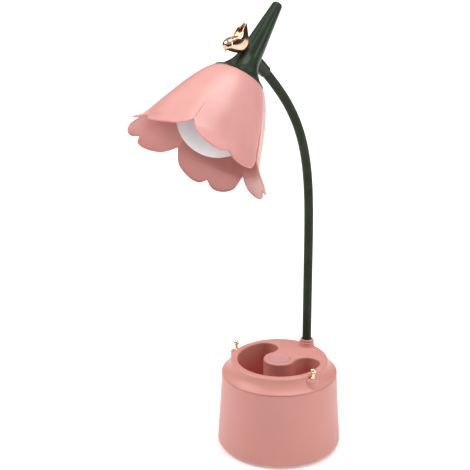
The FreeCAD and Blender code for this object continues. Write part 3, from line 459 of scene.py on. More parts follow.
rubber = satin_plastic("pad_rubber", rgb(52, 52, 54), rgb(40, 40, 42), 0.75, grain=1800.0, relief=0.00005)
black_plastic = satin_plastic("holder_black", rgb(44, 44, 47), rgb(34, 34, 37), 0.5)
cell_wrap = satin_plastic("cell_wrap", rgb(64, 140, 172), rgb(52, 124, 158), 0.3, coat_weight=0.4)
phosphor = satin_plastic("phosphor", rgb(240, 226, 140), rgb(232, 214, 120), 0.5)
circuit_green = board_green()


# ---------------------------------------------------------------- pot


BASE_RADIUS = 58.0
FOOT_HEIGHT = 1.5
FOOT_ROUND = 4.6
LIP_INNER = 52.0
LIP_TOP = 3.5
WALL = 2.5
WALL_FOOT = 5.5
SEAM = 73.0
SEAM_GAP = 0.18
SEAM_ROUND = 0.2
SHOULDER = 54.0
SHOULDER_RISE = 1.7
SHOULDER_ROUND = 2.5
SWEEP_ROUND = 17.0
COLLAR = 45.7
COLLAR_ROUND = 2.8
TOP = 86.6
PLATE = 2.5
TONGUE_INNER = 49.3
TONGUE_OUTER = 51.3
TONGUE_DROP = 3.0
POT_SIDES = 240


def collar_line():
    """Outside of the top from the seam to the plate: tight shoulder, hollow sweep, rounded collar."""
    shoulder_top = (SHOULDER - 1.0, SEAM + SHOULDER_RISE)
    collar_foot = (COLLAR, TOP - COLLAR_ROUND)
    start = np.array([[SHOULDER - 0.35, SEAM + SEAM_GAP], [SHOULDER, SEAM + 0.65]])
    shoulder = sagged(start[-1], shoulder_top, SHOULDER_ROUND, 8)
    sweep = sagged(shoulder_top, collar_foot, -SWEEP_ROUND, 28)
    edge = sagged(collar_foot, (COLLAR - COLLAR_ROUND, TOP), COLLAR_ROUND, 12)
    return np.vstack([start, shoulder, sweep, edge])


def pot_height(radius):
    """Height of the pot's outside above a point at this distance from the axis."""
    line = collar_line()[1:]
    return np.interp(radius, line[::-1, 0], line[::-1, 1])


PORT_HALF_WIDTH = 4.67
PORT_HALF_HEIGHT = 1.78
PORT_LEVEL = 14.0
PORT_REACH = (48.0, 66.0)


def port_cutter():
    """Bar through the back wall, flat above and below and round at both ends, for the charging socket.

    Its ends are half circles, a ten-thousandth wider and held to the bar's half height.
    """
    t = np.linspace(0, TURN, 48, endpoint=False)
    round_x = np.clip(PORT_HALF_HEIGHT * 1.0001 * np.cos(t), -PORT_HALF_HEIGHT, PORT_HALF_HEIGHT)
    x = round_x + np.sign(np.cos(t)) * (PORT_HALF_WIDTH - PORT_HALF_HEIGHT)
    z = PORT_HALF_HEIGHT * np.sin(t) + PORT_LEVEL
    rows = [np.stack([x, 0 * x + depth, z], -1) for depth in PORT_REACH]
    return surface("port_cutter", np.stack(rows), wrap_columns=True, caps=(0, -1))


def pot_wall():
    """Tapered wall: a closed turned section with the foot's rounding, the lip for the cover and the
    stepped seam at the top, then the slot for the charging socket cut at the back."""
    line = rounded([
        (SHOULDER - WALL, SEAM), (SHOULDER - 0.5, SEAM, 0.0), (SHOULDER - 0.15, SEAM - 0.5, SEAM_ROUND),
        (BASE_RADIUS, FOOT_HEIGHT + 0.2, FOOT_ROUND), (LIP_INNER + 0.1, FOOT_HEIGHT, 0.4),
        (LIP_INNER, LIP_TOP, 0.0), (BASE_RADIUS - WALL, WALL_FOOT, 0.0), (SHOULDER - WALL, SEAM)],
        steps=14)[:-1]
    wall = turned("pot_wall", line, POT_SIDES, closed=True)
    cutter = port_cutter()
    cut = wall.modifiers.new("port", "BOOLEAN")
    cut.operation, cut.object, cut.solver = "DIFFERENCE", cutter, "EXACT"
    graph = bpy.context.evaluated_depsgraph_get()
    mesh = bpy.data.meshes.new_from_object(wall.evaluated_get(graph))
    wall.modifiers.clear()
    wall.data = mesh
    wall.data.set_sharp_from_angle(angle=math.radians(SHARP_ANGLE))
    bpy.data.objects.remove(cutter)
    return wall


WELL_INNER = 15.0
WELL_OUTER = 39.1
WELL_REACH = math.radians(109.5)
WELL_FLOOR = 24.6
WELL_ROUND = 1.6
WELL_FLOOR_ROUND = 2.0
WELL_WALL = 2.0


def kidney(offset):
    """Outline of the pen well moved outwards by an offset: two arcs about the axis and two round ends.

    A point lies at its arc's centre plus the arc's radius along a direction, and the direction turns
    steadily with the parameter. The offset grows the outer arc and the ends, and shrinks the inner arc.
    """
    middle = (WELL_INNER + WELL_OUTER) / 2
    end = (WELL_OUTER - WELL_INNER) / 2
    pieces = []
    for centre_angle, radius, first, last, count in (
            (None, WELL_OUTER + offset, -WELL_REACH, WELL_REACH, 170),
            (WELL_REACH, end + offset, WELL_REACH, WELL_REACH + math.pi, 56),
            (None, WELL_INNER - offset, WELL_REACH, -WELL_REACH, 90),
            (-WELL_REACH, end + offset, -WELL_REACH - math.pi, -WELL_REACH, 56)):
        angle = np.linspace(first, last, count, endpoint=False)
        x, y = radius * np.sin(angle), -radius * np.cos(angle)
        if centre_angle is not None:
            x = x + middle * math.sin(centre_angle)
            y = y - middle * math.cos(centre_angle)
        pieces.append(np.stack([x, y], -1))
    return np.vstack(pieces)


def well_skin(line):
    """Well surface: for each (offset, height) of a line, the kidney outline at that offset."""
    rows = []
    for offset, height in line:
        outline = kidney(offset)
        rows.append(np.column_stack([outline, np.full(len(outline), height)]))
    return np.stack(rows)


BUTTON = 9.7
BUTTON_DEPTH = 0.95
BUTTON_GAP = 0.12
BUTTON_RECESS = 0.9
SKIN_MERGE = 0.002


def pot_top():
    """Top cover as one closed shell: outer and inner skins of collar, plate and pen well.

    The collar is turned, the well follows the kidney outline, and flat faces fill the plate between
    their edges, which share their points.
    """
    medial = -(WELL_OUTER - WELL_INNER) / 2
    inside_line = np.array([[medial, WELL_FLOOR], [-6.0, WELL_FLOOR]])
    inside_line = np.vstack([inside_line, rounded(
        [(-4.0, WELL_FLOOR), (0.0, WELL_FLOOR, WELL_FLOOR_ROUND), (0.0, TOP, WELL_ROUND), (4.0, TOP)],
        steps=9)[1:-2]])
    under = WELL_FLOOR - WELL_WALL
    outside_line = np.array([
        [WELL_WALL, TOP - PLATE], [WELL_WALL, TOP - PLATE - 0.3], [WELL_WALL, WELL_FLOOR - 1.8],
        [1.8, under], [-4.0, under], [medial, under]])
    collar_in = np.array([
        [COLLAR - WALL, TOP - PLATE], [COLLAR - WALL, TOP - PLATE - WALL], [TONGUE_INNER, SEAM],
        [TONGUE_INNER, SEAM - TONGUE_DROP], [TONGUE_OUTER, SEAM - TONGUE_DROP],
        [TONGUE_OUTER, SEAM + SEAM_GAP]])
    collar_out = collar_line()
    button = BUTTON + BUTTON_GAP
    button_line = np.array([[button + 0.35, TOP], [button + 0.1, TOP - 0.1], [button, TOP - 0.35],
                            [button, TOP - BUTTON_RECESS], [0.0, TOP - BUTTON_RECESS]])
    points, faces, start = [], [], 0
    for grid in (well_skin(inside_line), well_skin(outside_line),
                 spun(np.vstack([collar_in, collar_out]), POT_SIDES), spun(button_line, 96)):
        rows, columns = grid.shape[:2]
        points.append(grid.reshape(-1, 3))
        faces.append(grid_faces(rows, columns, wrap_columns=True, start=start))
        start += rows * columns
    mesh = bpy.data.meshes.new("pot_top_skins")
    mesh.from_pydata(np.vstack(points), [], np.vstack(faces).tolist())
    bm = bmesh.new()
    bm.from_mesh(mesh)
    bmesh.ops.remove_doubles(bm, verts=bm.verts, dist=SKIN_MERGE)
    for level in (TOP, TOP - PLATE):
        rim = [e for e in bm.edges if e.is_boundary and all(abs(v.co.z - level) < 1e-3 for v in e.verts)]
        bmesh.ops.triangle_fill(bm, use_beauty=True, edges=rim)
    bmesh.ops.recalc_face_normals(bm, faces=bm.faces)
    bm.to_mesh(mesh)
    bm.free()
    places = points_of(mesh)
    faces = [list(p.vertices) for p in mesh.polygons]
    bpy.data.meshes.remove(mesh)
    return make_mesh("pot_top", places, faces)


def add_hollow_shade_mask(piece):
    """Mask of the pen well's painted shade: 0 on the plate and outside, 1 down in the pen well."""
    places = points_of(piece.data) / MM
    inside = np.linalg.norm(places[:, :2], axis=1) < WELL_OUTER + WELL_ROUND
    add_attribute(piece, "painted_hollow_shade", inside * smooth_step(TOP - 1.0, TOP - 30.0, places[:, 2]))


LUG_SIDES = 120
LUG_ROOT = 1.2


def lug(name, centre, radius, top, top_round, flare):
    """Solid lug that grows out of the pot's outside with a hollow flare at its foot.

    Round each direction a from the lug's axis the section goes from the middle of its top out over a
    rounded edge, down the side and out along the foot: the side's radius is radius + flare * exp(-h / flare),
    with h the height above the pot's outside. It ends LUG_ROOT below that outside.
    """
    angle = np.linspace(0, TURN, LUG_SIDES, endpoint=False)
    out = np.stack([np.sin(angle), -np.cos(angle)], -1)
    flat = radius - top_round
    level = np.full(LUG_SIDES, top)
    rows = [np.column_stack([centre + out * flat * share, level]) for share in (0.0, 0.45, 0.9)]
    for a in np.linspace(0, math.pi / 2, 8):
        spot = centre + out * (flat + top_round * math.sin(a))
        rows.append(np.column_stack([spot, np.full(LUG_SIDES, top - top_round * (1 - math.cos(a)))]))
    foot = np.minimum(pot_height(np.linalg.norm(centre + out * (radius + flare), axis=1)), top - top_round)
    drop = np.maximum(top - top_round - foot, 0.0)
    for share in np.linspace(0, 1, 9)[1:]:
        height = drop * (1 - share)
        side = radius + flare * np.exp(-height / flare) * np.where(drop > 0.3, 1, 0.2)
        rows.append(np.column_stack([centre + out * side[:, None], foot + height]))
    last = rows[-1]
    rows.append(np.column_stack([last[:, :2], last[:, 2] - LUG_ROOT]))
    bottom = np.full(LUG_SIDES, last[:, 2].min() - LUG_ROOT)
    rows += [np.column_stack([centre + out * share, bottom]) for share in (0.5, 0.0)]
    return surface(name, np.stack(rows), wrap_columns=True, smooth_angle=50.0)


EAR_ANGLE = math.radians(80.0)
EAR_DISTANCE = 46.2
EAR_TOP = 83.4
PIN_DISTANCE = 47.8


def ear_spot(distance, side):
    """Place (x, y) on an ear's direction at a distance from the pot's axis; side is -1 or 1."""
    return np.array([distance * math.sin(EAR_ANGLE) * side, -distance * math.cos(EAR_ANGLE)])


def ear_pin(name, side):
    """Small turned pin: spigot, foot disc, waist and a ball with a flattened crown."""
    spigot, disc, waist, ball, centre = 1.1, 2.3, 1.65, 2.65, 7.4
    t = np.linspace(math.radians(-58), math.pi / 2, 22)
    line = np.vstack([
        rounded([(0, -1.0), (spigot, -1.0, 0.0), (spigot, 0.0, 0.0), (disc, 0.0, 0.15), (disc, 1.3, 0.35),
                 (waist + 0.05, 1.7, 0.4), (waist, 4.9, 0.2),
                 (ball * math.cos(t[0]), centre + ball * math.sin(t[0]))], steps=5, guard=0.08),
        np.column_stack([ball * np.cos(t), centre + ball * np.sin(t)])[1:]])
    spot = np.append(ear_spot(PIN_DISTANCE, side), EAR_TOP)
    return turned(name, line, 64, place=lambda grid: grid + spot)


NECK_BACK = 40.0
BOSS = 6.9
BOSS_HEIGHT = 4.6
RING_SEAT = 4.4
RING_BORE = 4.35
RING_FOOT = 5.5
RING = 6.05
RING_TOP = 2.45


def neck_bezel():
    """Turned ring round the neck's foot: a narrow foot in the boss and a rounded band above it."""
    line = rounded([
        (RING_BORE, 2.0), (RING_BORE, 0.0, 0.0), (RING_FOOT, 0.0, 0.0), (RING_FOOT, 0.7, 0.1),
        (RING, 0.75, 0.2), (RING, RING_TOP, 0.55), (RING_BORE, RING_TOP, 0.35), (RING_BORE, 2.0)],
        steps=6, guard=0.08)[:-1]
    spot = np.array([0.0, NECK_BACK, TOP + RING_SEAT])
    return turned("neck_bezel", line, 72, closed=True, place=lambda grid: grid + spot)


def touch_pad():
    """Turned button level with the plate: rounded rim and a shallow dished middle."""
    line = rounded([
        (0, TOP - BUTTON_DEPTH), (BUTTON, TOP - BUTTON_DEPTH, 0.0), (BUTTON, TOP, 0.25),
        (8.3, TOP - 0.02, 0.1), (8.0, TOP - 0.22, 0.1), (0, TOP - 0.3)], steps=5, guard=0.1)
    return turned("touch_pad", line, 120)


# ---------------------------------------------------------------- gooseneck


SPAN = 32.18
SPAN_COUNT = 9
NECK_START = 93.4
NECK_TURN = 46.0
BEND_MIDDLE = 7.0
BEND_SPREAD = 1.5
BEND_LEAST = 0.02
SLEEVE = 4.2
PLUG = 6.0
NECK_STEP = 0.7


def neck_turns():
    """Bend of each span in radians: a bell curve about the seventh, its small tails left straight."""
    number = np.arange(1, SPAN_COUNT + 1)
    share = np.exp(-((number - BEND_MIDDLE) / BEND_SPREAD) ** 2 / 2)
    share = np.where(share > BEND_LEAST * share.sum(), share, 0.0)
    return np.radians(NECK_TURN * share / share.sum())


def neck_line(distance):
    """Points and leans of the neck's middle line at distances along it: each span is an arc, and the line
    runs straight on past both ends."""
    turns = neck_turns()
    leans = np.concatenate([[0.0], np.cumsum(turns)])
    chord = SPAN * np.sinc(turns / TURN)
    way = leans[:-1] + turns / 2
    starts = np.vstack([[0.0, 0.0], np.cumsum(np.stack([-chord * np.sin(way), chord * np.cos(way)], -1), 0)])
    k = np.clip((distance / SPAN).astype(int), 0, SPAN_COUNT - 1)
    run = distance - k * SPAN
    bend = turns[k] * np.clip(run / SPAN, 0, 1)
    inside = np.clip(run, 0, SPAN)
    reach = inside * np.sinc(bend / TURN)
    mean = leans[k] + bend / 2
    lean = leans[k] + bend
    beyond = run - inside
    y = starts[k, 0] - reach * np.sin(mean) - beyond * np.sin(lean) + NECK_BACK
    z = starts[k, 1] + reach * np.cos(mean) + beyond * np.cos(lean) + NECK_START
    return np.stack([0 * y, y, z], -1), lean


def neck_piece(name, first, last):
    """Stretch of the sleeve: a circle carried along the neck's middle line, square to it."""
    distance = np.linspace(first, last, int((last - first) / NECK_STEP))
    centre, lean = neck_line(distance)
    angle = np.linspace(0, TURN, 44, endpoint=False)
    across = np.stack([1 + 0 * lean, 0 * lean, 0 * lean], -1)
    front = np.stack([0 * lean, -np.cos(lean), -np.sin(lean)], -1)
    grid = centre[:, None] + SLEEVE * (across[:, None] * np.sin(angle)[None, :, None]
                                       + front[:, None] * np.cos(angle)[None, :, None])
    return surface(name, grid, wrap_columns=True, caps=(0, -1))


def add_along(piece):
    """Attribute along: distance up the neck in millimetres, for the ribs in its finish."""
    places = points_of(piece.data) / MM
    distance = np.linspace(-PLUG, SPAN * SPAN_COUNT + PLUG, 1500)
    line, _ = neck_line(distance)
    nearest = ((places[:, None, 1:] - line[None, :, 1:]) ** 2).sum(-1).argmin(1)
    add_attribute(piece, "along", distance[nearest])


# ---------------------------------------------------------------- head


CAP_BOTTOM = 64.5
CAP_RIM = 66.2
PETALS = 5
PETAL_HALF = math.radians(36.0)
PETAL_PHASE = math.radians(260.0)
PETAL_POINTS = 74
BELL_ROWS = 74
JUNCTION = 54.3
CROWN_INSET = 3.0
SHADE_TOP = 22.2
SHADE_BORE = 11.5
SHADE_WALL = 2.0
EDGE_WALL = 1.3
NOTCH_RADIUS = 63.0
NOTCH_DROP = 11.9
FLARE_BLEND = 3.0
GROOVE = math.radians(0.7)
OVERLAP_REACH = math.radians(4.0)


def petal_radii(level):
    """Radius of the bell at the junctions and at a petal's middle, by height above the junctions."""
    share = np.clip(1 - level / CAP_BOTTOM, 0, 1)
    valley = SHADE_TOP + (JUNCTION - SHADE_TOP) * share ** 0.685
    crown = valley - CROWN_INSET * share ** 1.5
    drop = (np.hypot(level, FLARE_BLEND) - level) / 2
    flare = (drop / NOTCH_DROP) ** 1.2 * smooth_step(14.0, 3.0, level)
    valley = valley + (NOTCH_RADIUS - JUNCTION) * flare
    crown = crown + (NOTCH_RADIUS - JUNCTION + CROWN_INSET) * flare
    return valley, np.minimum(crown, valley)


def bell_radius(angle, level):
    """Bell radius at an angle from a petal's middle: the arc through both junctions and the middle."""
    valley, crown = petal_radii(level)
    c = (crown ** 2 - valley ** 2) / (2 * (crown - valley * math.cos(PETAL_HALF)))
    rho = crown - c
    return c * np.cos(angle) + np.sqrt((c * np.cos(angle)) ** 2 - (c ** 2 - rho ** 2))


def petal_edge(angle):
    """Height of a petal's lower edge at an angle from its middle: two lobes with a notch between."""
    degrees = [0.0, 1.6, 4.6, 9.0, 14.5, 21.0, 27.0, 31.5, 34.5, 36.0]
    drops = [-11.6, -12.8, -15.2, -16.1, -15.5, -13.4, -10.4, -5.9, -2.0, -0.2]
    return smooth_through(degrees, drops, np.degrees(np.abs(angle)))


def bell():
    """Five-petal shade as one closed shell.

    Angle and section carry it: down the outside from the cap's edge, round the thin rim and up the
    inside. A fine groove runs up each junction and fades above it.
    """
    across = np.sin(np.linspace(-math.pi / 2, math.pi / 2, PETAL_POINTS + 1))[:-1] * PETAL_HALF
    across = np.tile(across, PETALS)
    middle = np.repeat(PETAL_PHASE + np.arange(PETALS) * TURN / PETALS, PETAL_POINTS)
    angle = middle + across
    edge = petal_edge(across)
    steps = np.linspace(0, 1, BELL_ROWS) ** 1.35
    half = EDGE_WALL / 2
    low = edge + half
    # Masks of painted shade: one along the rim edges and junction grooves, one on the inner faces.
    rows, rim_shades, inner_shades = [], [], []
    inwards = PETAL_HALF - np.abs(across)
    junction = np.exp(-(inwards / GROOVE) ** 2)
    overlap = -0.45 * np.sign(across) * np.exp(-inwards / OVERLAP_REACH)

    def add(radius, level, rim, inside):
        rows.append(np.stack([radius * np.cos(angle), radius * np.sin(angle), level], -1))
        rim_shades.append(rim + 0 * angle)
        inner_shades.append(inside + 0 * angle)

    def wall_at(level):
        return EDGE_WALL + (SHADE_WALL - EDGE_WALL) * smooth_step(0, 14, level - edge)

    top = CAP_BOTTOM - 0.05
    for radius in (SHADE_BORE, 16.0, 20.0):
        add(radius + 0 * angle, top + 0 * angle, 0.0, 0.0)
    for t in steps:
        level = top + (low - top) * t
        fade = 1 - smooth_step(4.0, 38.0, level)
        radius = bell_radius(across, level) + (overlap - 0.5 * junction) * fade
        # Painted shade mask: full at the petal's edge and fading upwards, 0.7 along each junction groove.
        add(radius, level, np.maximum(np.exp(-(level - edge) / 2.2), 0.7 * junction * fade), 0.0)
    for a in np.linspace(0, math.pi, 9)[1:-1]:
        radius = bell_radius(across, low) - half + half * math.cos(a)
        add(radius, low - half * math.sin(a), 1.0, a / math.pi)
    bottom = CAP_BOTTOM - SHADE_WALL
    for t in steps[::-1]:
        level = bottom + (low - bottom) * t
        radius = bell_radius(across, level) - wall_at(level)
        # Inner faces take the full painted-shade mask.
        add(radius, level, np.exp(-(level - edge) / 1.5), 1.0)
    add(SHADE_BORE + 0 * angle, bottom + 0 * angle, 0.0, 1.0)
    grid = np.stack(rows)
    piece = surface("petal_bell", in_head(grid), wrap_rows=True, wrap_columns=True)
    return piece, grid.reshape(-1, 3), np.stack(rim_shades).ravel(), np.stack(inner_shades).ravel()


def paint(piece, name, spots, values):
    """Attribute on a piece's points, each taking the value of the spot (in metres) nearest to it."""
    tree = KDTree(len(spots))
    for index, spot in enumerate(spots.tolist()):
        tree.insert(spot, index)
    tree.balance()
    found = [tree.find(v.co)[1] for v in piece.data.vertices]
    add_attribute(piece, name, values[found])


def cap_line():
    """Calyx cap's outside: thin flange, hollow flare of one arc, tapered handle and rounded tip."""
    flange, foot, tip, hollow = 23.4, (10.1, 88.0), (4.4, 140.6), 66.5
    flare = sagged((flange, 65.2), foot, -28.0, 34)
    handle = rounded([(foot[0] - 0.02, foot[1] + 0.3), (tip[0] - 0.05, tip[1], 3.1), (0.0, tip[1])], steps=12)
    under = rounded([(8.0, hollow), (21.0, hollow - 0.5, 0.0), (flange - 0.5, CAP_BOTTOM, 0.25),
                     (flange, 64.6, 0.15), (flange, 65.2)], steps=4, guard=0.05)
    return np.vstack([[[0.0, hollow]], under, flare, handle])


def add_rim(piece):
    """Attribute rim: 1 at the cap's bottom and 0 above its rim, by height in the head's frame."""
    local = (points_of(piece.data) / MM - HEAD_ORIGIN) @ about_x(HEAD_TILT)
    add_attribute(piece, "rim", 1 - smooth_step(CAP_BOTTOM, CAP_RIM, local[:, 2]))


def ferrule_line():
    """Ferrule from its mouth up the neck's line: short inner step, rounded mouth and plain side."""
    side, step, length = 5.5, 0.4, 18.0
    return rounded([(0, step), (4.3, step, 0.0), (4.35, 0.0, 0.0), (side, 0.0, 0.9), (side, length, 0.0),
                    (0, length)], steps=8)


DOME = 35.5
DOME_LEVEL = 27.5


def dome_line():
    """Diffuser: half a sphere below its level, closed by a flat top."""
    t = np.linspace(-math.pi / 2, 0, 60)
    return np.vstack([np.column_stack([DOME * np.cos(t), DOME_LEVEL + DOME * np.sin(t)]),
                      [[DOME - 0.3, DOME_LEVEL + 0.05], [0.0, DOME_LEVEL + 0.05]]])


def bird_body():
    """Body, head and raised wings in one skin, drawn in the lamp's frame.

    A section is x = w sin a, s = -v cos a below the middle line and -m cos a + lift sin^2(2a) above it, so
    that the upper half rises into two ridges with a trough between. It is carried from the face along the
    middle line (y, z) to the wings' tips, its upright leaning forwards by an angle that grows on the way.
    """
    knots = np.array([0, 0.08, 0.2, 0.32, 0.45, 0.58, 0.7, 0.82, 0.92, 1.0])
    line = np.array([(-75.3, 394.9), (-74.9, 395.0), (-71.6, 395.8), (-67.6, 395.3), (-62.6, 394.4),
                     (-57.6, 394.0), (-53.2, 396.0), (-50.8, 400.5), (-49.8, 405.4), (-49.0, 410.6)])
    sizes = np.array([
        (0.3, 0.3, 0.3, 0.0, 0), (2.9, 2.3, 2.9, 0.0, 0), (5.0, 4.4, 5.1, 0.4, 0), (5.4, 5.6, 5.2, 1.7, 2),
        (5.8, 6.5, 5.0, 3.6, 6), (6.2, 7.1, 4.9, 5.7, 14), (5.9, 6.9, 3.9, 7.7, 24), (4.6, 4.2, 2.4, 7.1, 30),
        (3.0, 2.2, 1.0, 4.1, 33), (1.5, 0.5, -0.6, 1.4, 34)])
    t = np.linspace(0, 1, 130)
    middle = smooth_through(knots, line, t)
    width, below, above, lift, lean = smooth_through(knots, sizes, t).T[:, :, None]
    angle = np.linspace(0, TURN, 96, endpoint=False)
    cosine = np.cos(angle)
    x = np.maximum(width, 0.1) * np.sin(angle)
    up = np.where(cosine > 0, -below * cosine, -above * cosine + lift * np.sin(2 * angle) ** 2)
    lean = np.radians(lean)
    y = middle[:, :1] - up * np.sin(lean)
    z = middle[:, 1:] + up * np.cos(lean)
    return surface("bird_body", np.stack([x + 0 * y, y, z], -1), wrap_columns=True, caps=(0, -1),
                   smooth_angle=70.0)


def cone_between(name, first, last, wide, narrow):
    """Small round-tipped cone from one point to another."""
    first, last = np.array(first, float), np.array(last, float)
    length = np.linalg.norm(last - first)
    way = (last - first) / length
    side = np.cross(way, [1.0, 0, 0])
    side /= np.linalg.norm(side)
    other = np.cross(way, side)
    line = rounded([(0, 0), (wide, 0, 0.2), (narrow, length - narrow, 0.3), (0, length)], steps=5, guard=0.05)
    grid = spun(line, 32)
    world = first + grid[..., :1] * side + grid[..., 1:2] * other + grid[..., 2:] * way
    return surface(name, world, wrap_columns=True)


# ---------------------------------------------------------------- build


def build_pot():
    dress(pot_wall(), pot_pink, "base", "base_shell", slot="base_pink")
    top = pot_top()
    add_hollow_shade_mask(top)
    dress(top, pot_pink, "base", "top_cover", slot="base_pink")
    boss = lug("neck_boss", np.array([0.0, NECK_BACK]), BOSS, TOP + BOSS_HEIGHT, 0.7, 1.1)
    dress(boss, pot_pink, "base", slot="base_pink")
    dress(neck_bezel(), pot_pink, "base", "neck_ring", slot="base_pink")
    dress(touch_pad(), button_gloss, "base", "touch_button", slot="button_lilac")
    for side, word in ((-1, "left"), (1, "right")):
        ear = lug(f"ear_{word}", ear_spot(EAR_DISTANCE, side), 6.3, EAR_TOP, 1.5, 1.0)
        dress(ear, pot_pink, "base", slot="base_pink")
        dress(ear_pin(f"pin_{word}", side), pin_mirror, "base", f"ear_pin_{word}", slot="pin_gold")


def build_neck():
    for k in range(1, SPAN_COUNT):
        first = -PLUG if k == 1 else SPAN * (k - 0.5)
        last = SPAN * SPAN_COUNT + PLUG if k == SPAN_COUNT - 1 else SPAN * (k + 0.5)
        piece = neck_piece(f"neck_skin_{k}", first, last)
        add_along(piece)
        ends, _ = neck_line(np.array([SPAN * (k - 0.5), SPAN * (k + 0.5)]))
        numbers = [k] if k < SPAN_COUNT - 1 else [k, k + 1]
        nodes = [f"neck_{part}_{n}" for n in numbers for part in ("sleeve", "core")]
        dress(piece, sleeve_green, None, *nodes, slot="sleeve_green")
        tuple(ends[0] * MM)
        tuple(ends[1] * MM)
        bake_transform(piece)


def build_head():
    cap = turned("calyx", cap_line(), 160, place=in_head)
    add_rim(cap)
    dress(cap, calyx_green, "head", "calyx_cap", slot="cap_green")
    mouth, lean = neck_line(np.array([SPAN * SPAN_COUNT]))
    ferrule = turned("neck_cuff", ferrule_line(), 72, place=lambda g: placed(g, about_x(lean[0]), mouth[0]))
    dress(ferrule, calyx_green, "head", "neck_ferrule", slot="cap_green")
    petals, spots, rim_shades, inner_shades = bell()
    world = in_head(spots) * MM
    # The rim and inside attributes carry the petals' painted shade.
    paint(petals, "rim", world, rim_shades)
    paint(petals, "inside", world, inner_shades)
    dress(petals, petal_pink, "head", "petal_shade", slot="shade_pink")
    dome = turned("opal_dome", dome_line(), 144, place=in_head)
    dress(dome, opal, "head", "diffuser_dome", slot="opal")
    dress(bird_body(), rose_mirror, "head", "bird", slot="bird_mirror")
    beak = cone_between("bird_beak", (0, -73.6, 395.4), (0, -74.7, 390.4), 2.3, 0.35)
    dress(beak, rose_mirror, "head", slot="bird_mirror")


def dress_frame():
    """Finishes of the frame's own pieces, in view or inside."""
    spans = range(1, SPAN_COUNT + 1)
    finishes = (
        (steel, ("bottom_screws", "head_screws", "neck_stem", "neck_nut", "charge_socket", "ballast_plate")),
        (core_steel, [f"neck_core_{k}" for k in spans]),
        (sleeve_green, [f"neck_sleeve_{k}" for k in spans]),
        (pot_pink, ("base_shell", "top_cover", "bottom_cover", "neck_ring")),
        (petal_pink, ("petal_shade",)),
        (calyx_green, ("calyx_cap", "neck_ferrule")),
        (rose_mirror, ("bird",)),
        (pin_mirror, ("ear_pin_left", "ear_pin_right")),
        (button_gloss, ("touch_button",)),
        (opal, ("diffuser_dome",)),
        (rubber, ("rubber_feet",)),
        (black_plastic, ("cell_holder",)),
        (cell_wrap, ("battery_cell",)),
        (circuit_green, ("main_board", "touch_sensor")),
        (lamp_enamel, ("lamp_dish", "led_board")),
        (phosphor, ("led_chips",)),
    )
    for finish, nodes in finishes:
        for node in nodes:
            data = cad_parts[node].data
            data.materials.clear()
            data.materials.append(finish)


# ---------------------------------------------------------------- studio


LIGHTS = (
    # name, spot and target in metres, width, height, watts
    ("key", (-1.0, -0.9, 1.6), (0.0, -0.05, 0.25), 0.9, 0.9, 20.0),
    ("top", (0.2, 0.3, 2.2), (0.0, 0.0, 0.0), 1.6, 1.6, 30.0),
    ("right", (1.5, 0.5, 0.7), (0.0, 0.0, 0.2), 0.4, 1.2, 6.0),
)
SURROUND_LIGHT = 0.5
FLOOR_REACH = 6000.0
HORIZON = ((2.6, 0.3), (2.6, 1.35))
CARD_HALF = (0.95, 0.665)
CARD_SPOT = (1.25, -1.5, 0.85)
CARD_TARGET = (0, 0, 0.25)
PHOTO_SIDE = 470.0
FOCAL_PIXELS = 1437.9
SENSOR_WIDTH = 36.0
CAMERA_SPOT = (0.7882, -0.9394, 0.6565)
CAMERA_FORWARD = (-0.6279, 0.6987, -0.3429)


def facing(spot, target):
    """Rotation that points an object's -Z axis from a spot at a target."""
    return (Vector(target) - Vector(spot)).to_track_quat("-Z", "Y").to_euler()


def flat_grid(half_x, half_y):
    """Four corners of a level rectangle about the origin, as two rows."""
    return np.array([[[x * half_x, y * half_y, 0.0] for x in (-1, 1)] for y in (-1, 1)])


def area_light(name, spot, target, width, height, power):
    """Soft box at a spot, facing a target."""
    lamp = bpy.data.lights.new(name, "AREA")
    lamp.shape, lamp.size, lamp.size_y = "RECTANGLE", width, height
    lamp.energy = power
    holder = bpy.data.objects.new(name, lamp)
    holder.location = spot
    holder.rotation_euler = facing(spot, target)
    bpy.context.scene.collection.objects.link(holder)


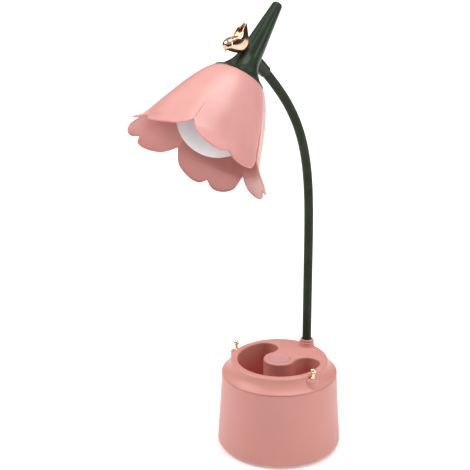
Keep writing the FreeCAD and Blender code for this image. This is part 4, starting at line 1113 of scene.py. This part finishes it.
def dark_prop(name, grid, wrap=False):
    """Black piece of the studio, unseen by the camera, that gives the polished parts something to mirror."""
    prop = surface(name, grid / MM, wrap_columns=wrap)
    prop.visible_camera = False
    black = Tree(name)
    prop.data.materials.append(black.finish(black.blend(black.noise(4.0), (0.02,) * 3, (0.03,) * 3), 0.9))
    return prop


def floor_paper():
    """Pale paper that glows more with its distance from the lamp, from 0.3 m to 1.8 m."""
    paper = Tree("floor_paper")
    tone = paper.blend(paper.noise(3.0), (0.93,) * 3, (0.90,) * 3)
    length = paper.node("ShaderNodeVectorMath", {"operation": "LENGTH"}, {0: paper.place})
    glow = paper.blend(Value(paper, length.outputs[1]).ramp(0.3, 1.8), (0.25,) * 3, (0.8,) * 3)
    return paper.finish(tone, 0.9, emission_color=glow, emission_strength=1.0)


def photo_camera():
    """Camera at the place, direction and focal length worked out from the photograph, held upright."""
    camera = bpy.data.cameras.new("camera")
    camera.sensor_width = SENSOR_WIDTH
    camera.lens = SENSOR_WIDTH * FOCAL_PIXELS / PHOTO_SIDE
    camera.clip_start, camera.clip_end = 0.05, 60.0
    holder = bpy.data.objects.new("camera", camera)
    forward = Vector(CAMERA_FORWARD).normalized()
    right = forward.cross(Vector((0, 0, 1))).normalized()
    up = right.cross(forward)
    axes = Matrix((right, up, -forward)).transposed()
    holder.matrix_world = Matrix.Translation(CAMERA_SPOT) @ axes.to_4x4()
    bpy.context.scene.collection.objects.link(holder)
    bpy.context.scene.camera = holder


def studio():
    """Pale floor, white surround, soft boxes, two dark props and the photograph's camera."""
    floor = surface("floor", flat_grid(FLOOR_REACH, FLOOR_REACH))
    floor.data.materials.append(floor_paper())
    world = bpy.data.worlds.new("studio")
    world.use_nodes = True
    world.node_tree.nodes["Background"].inputs[0].default_value = (1.0, 1.0, 1.0, 1.0)
    world.node_tree.nodes["Background"].inputs[1].default_value = SURROUND_LIGHT
    bpy.context.scene.world = world
    for light in LIGHTS:
        area_light(*light)
    dark_prop("dark_horizon", spun(np.array(HORIZON), 96), wrap=True)
    card = dark_prop("dark_card", flat_grid(*CARD_HALF))
    card.location = CARD_SPOT
    card.rotation_euler = facing(CARD_SPOT, CARD_TARGET)
    bpy.context.scene.view_settings.view_transform = "Standard"
    photo_camera()


dress_frame()
build_pot()
build_neck()
build_head()
studio()
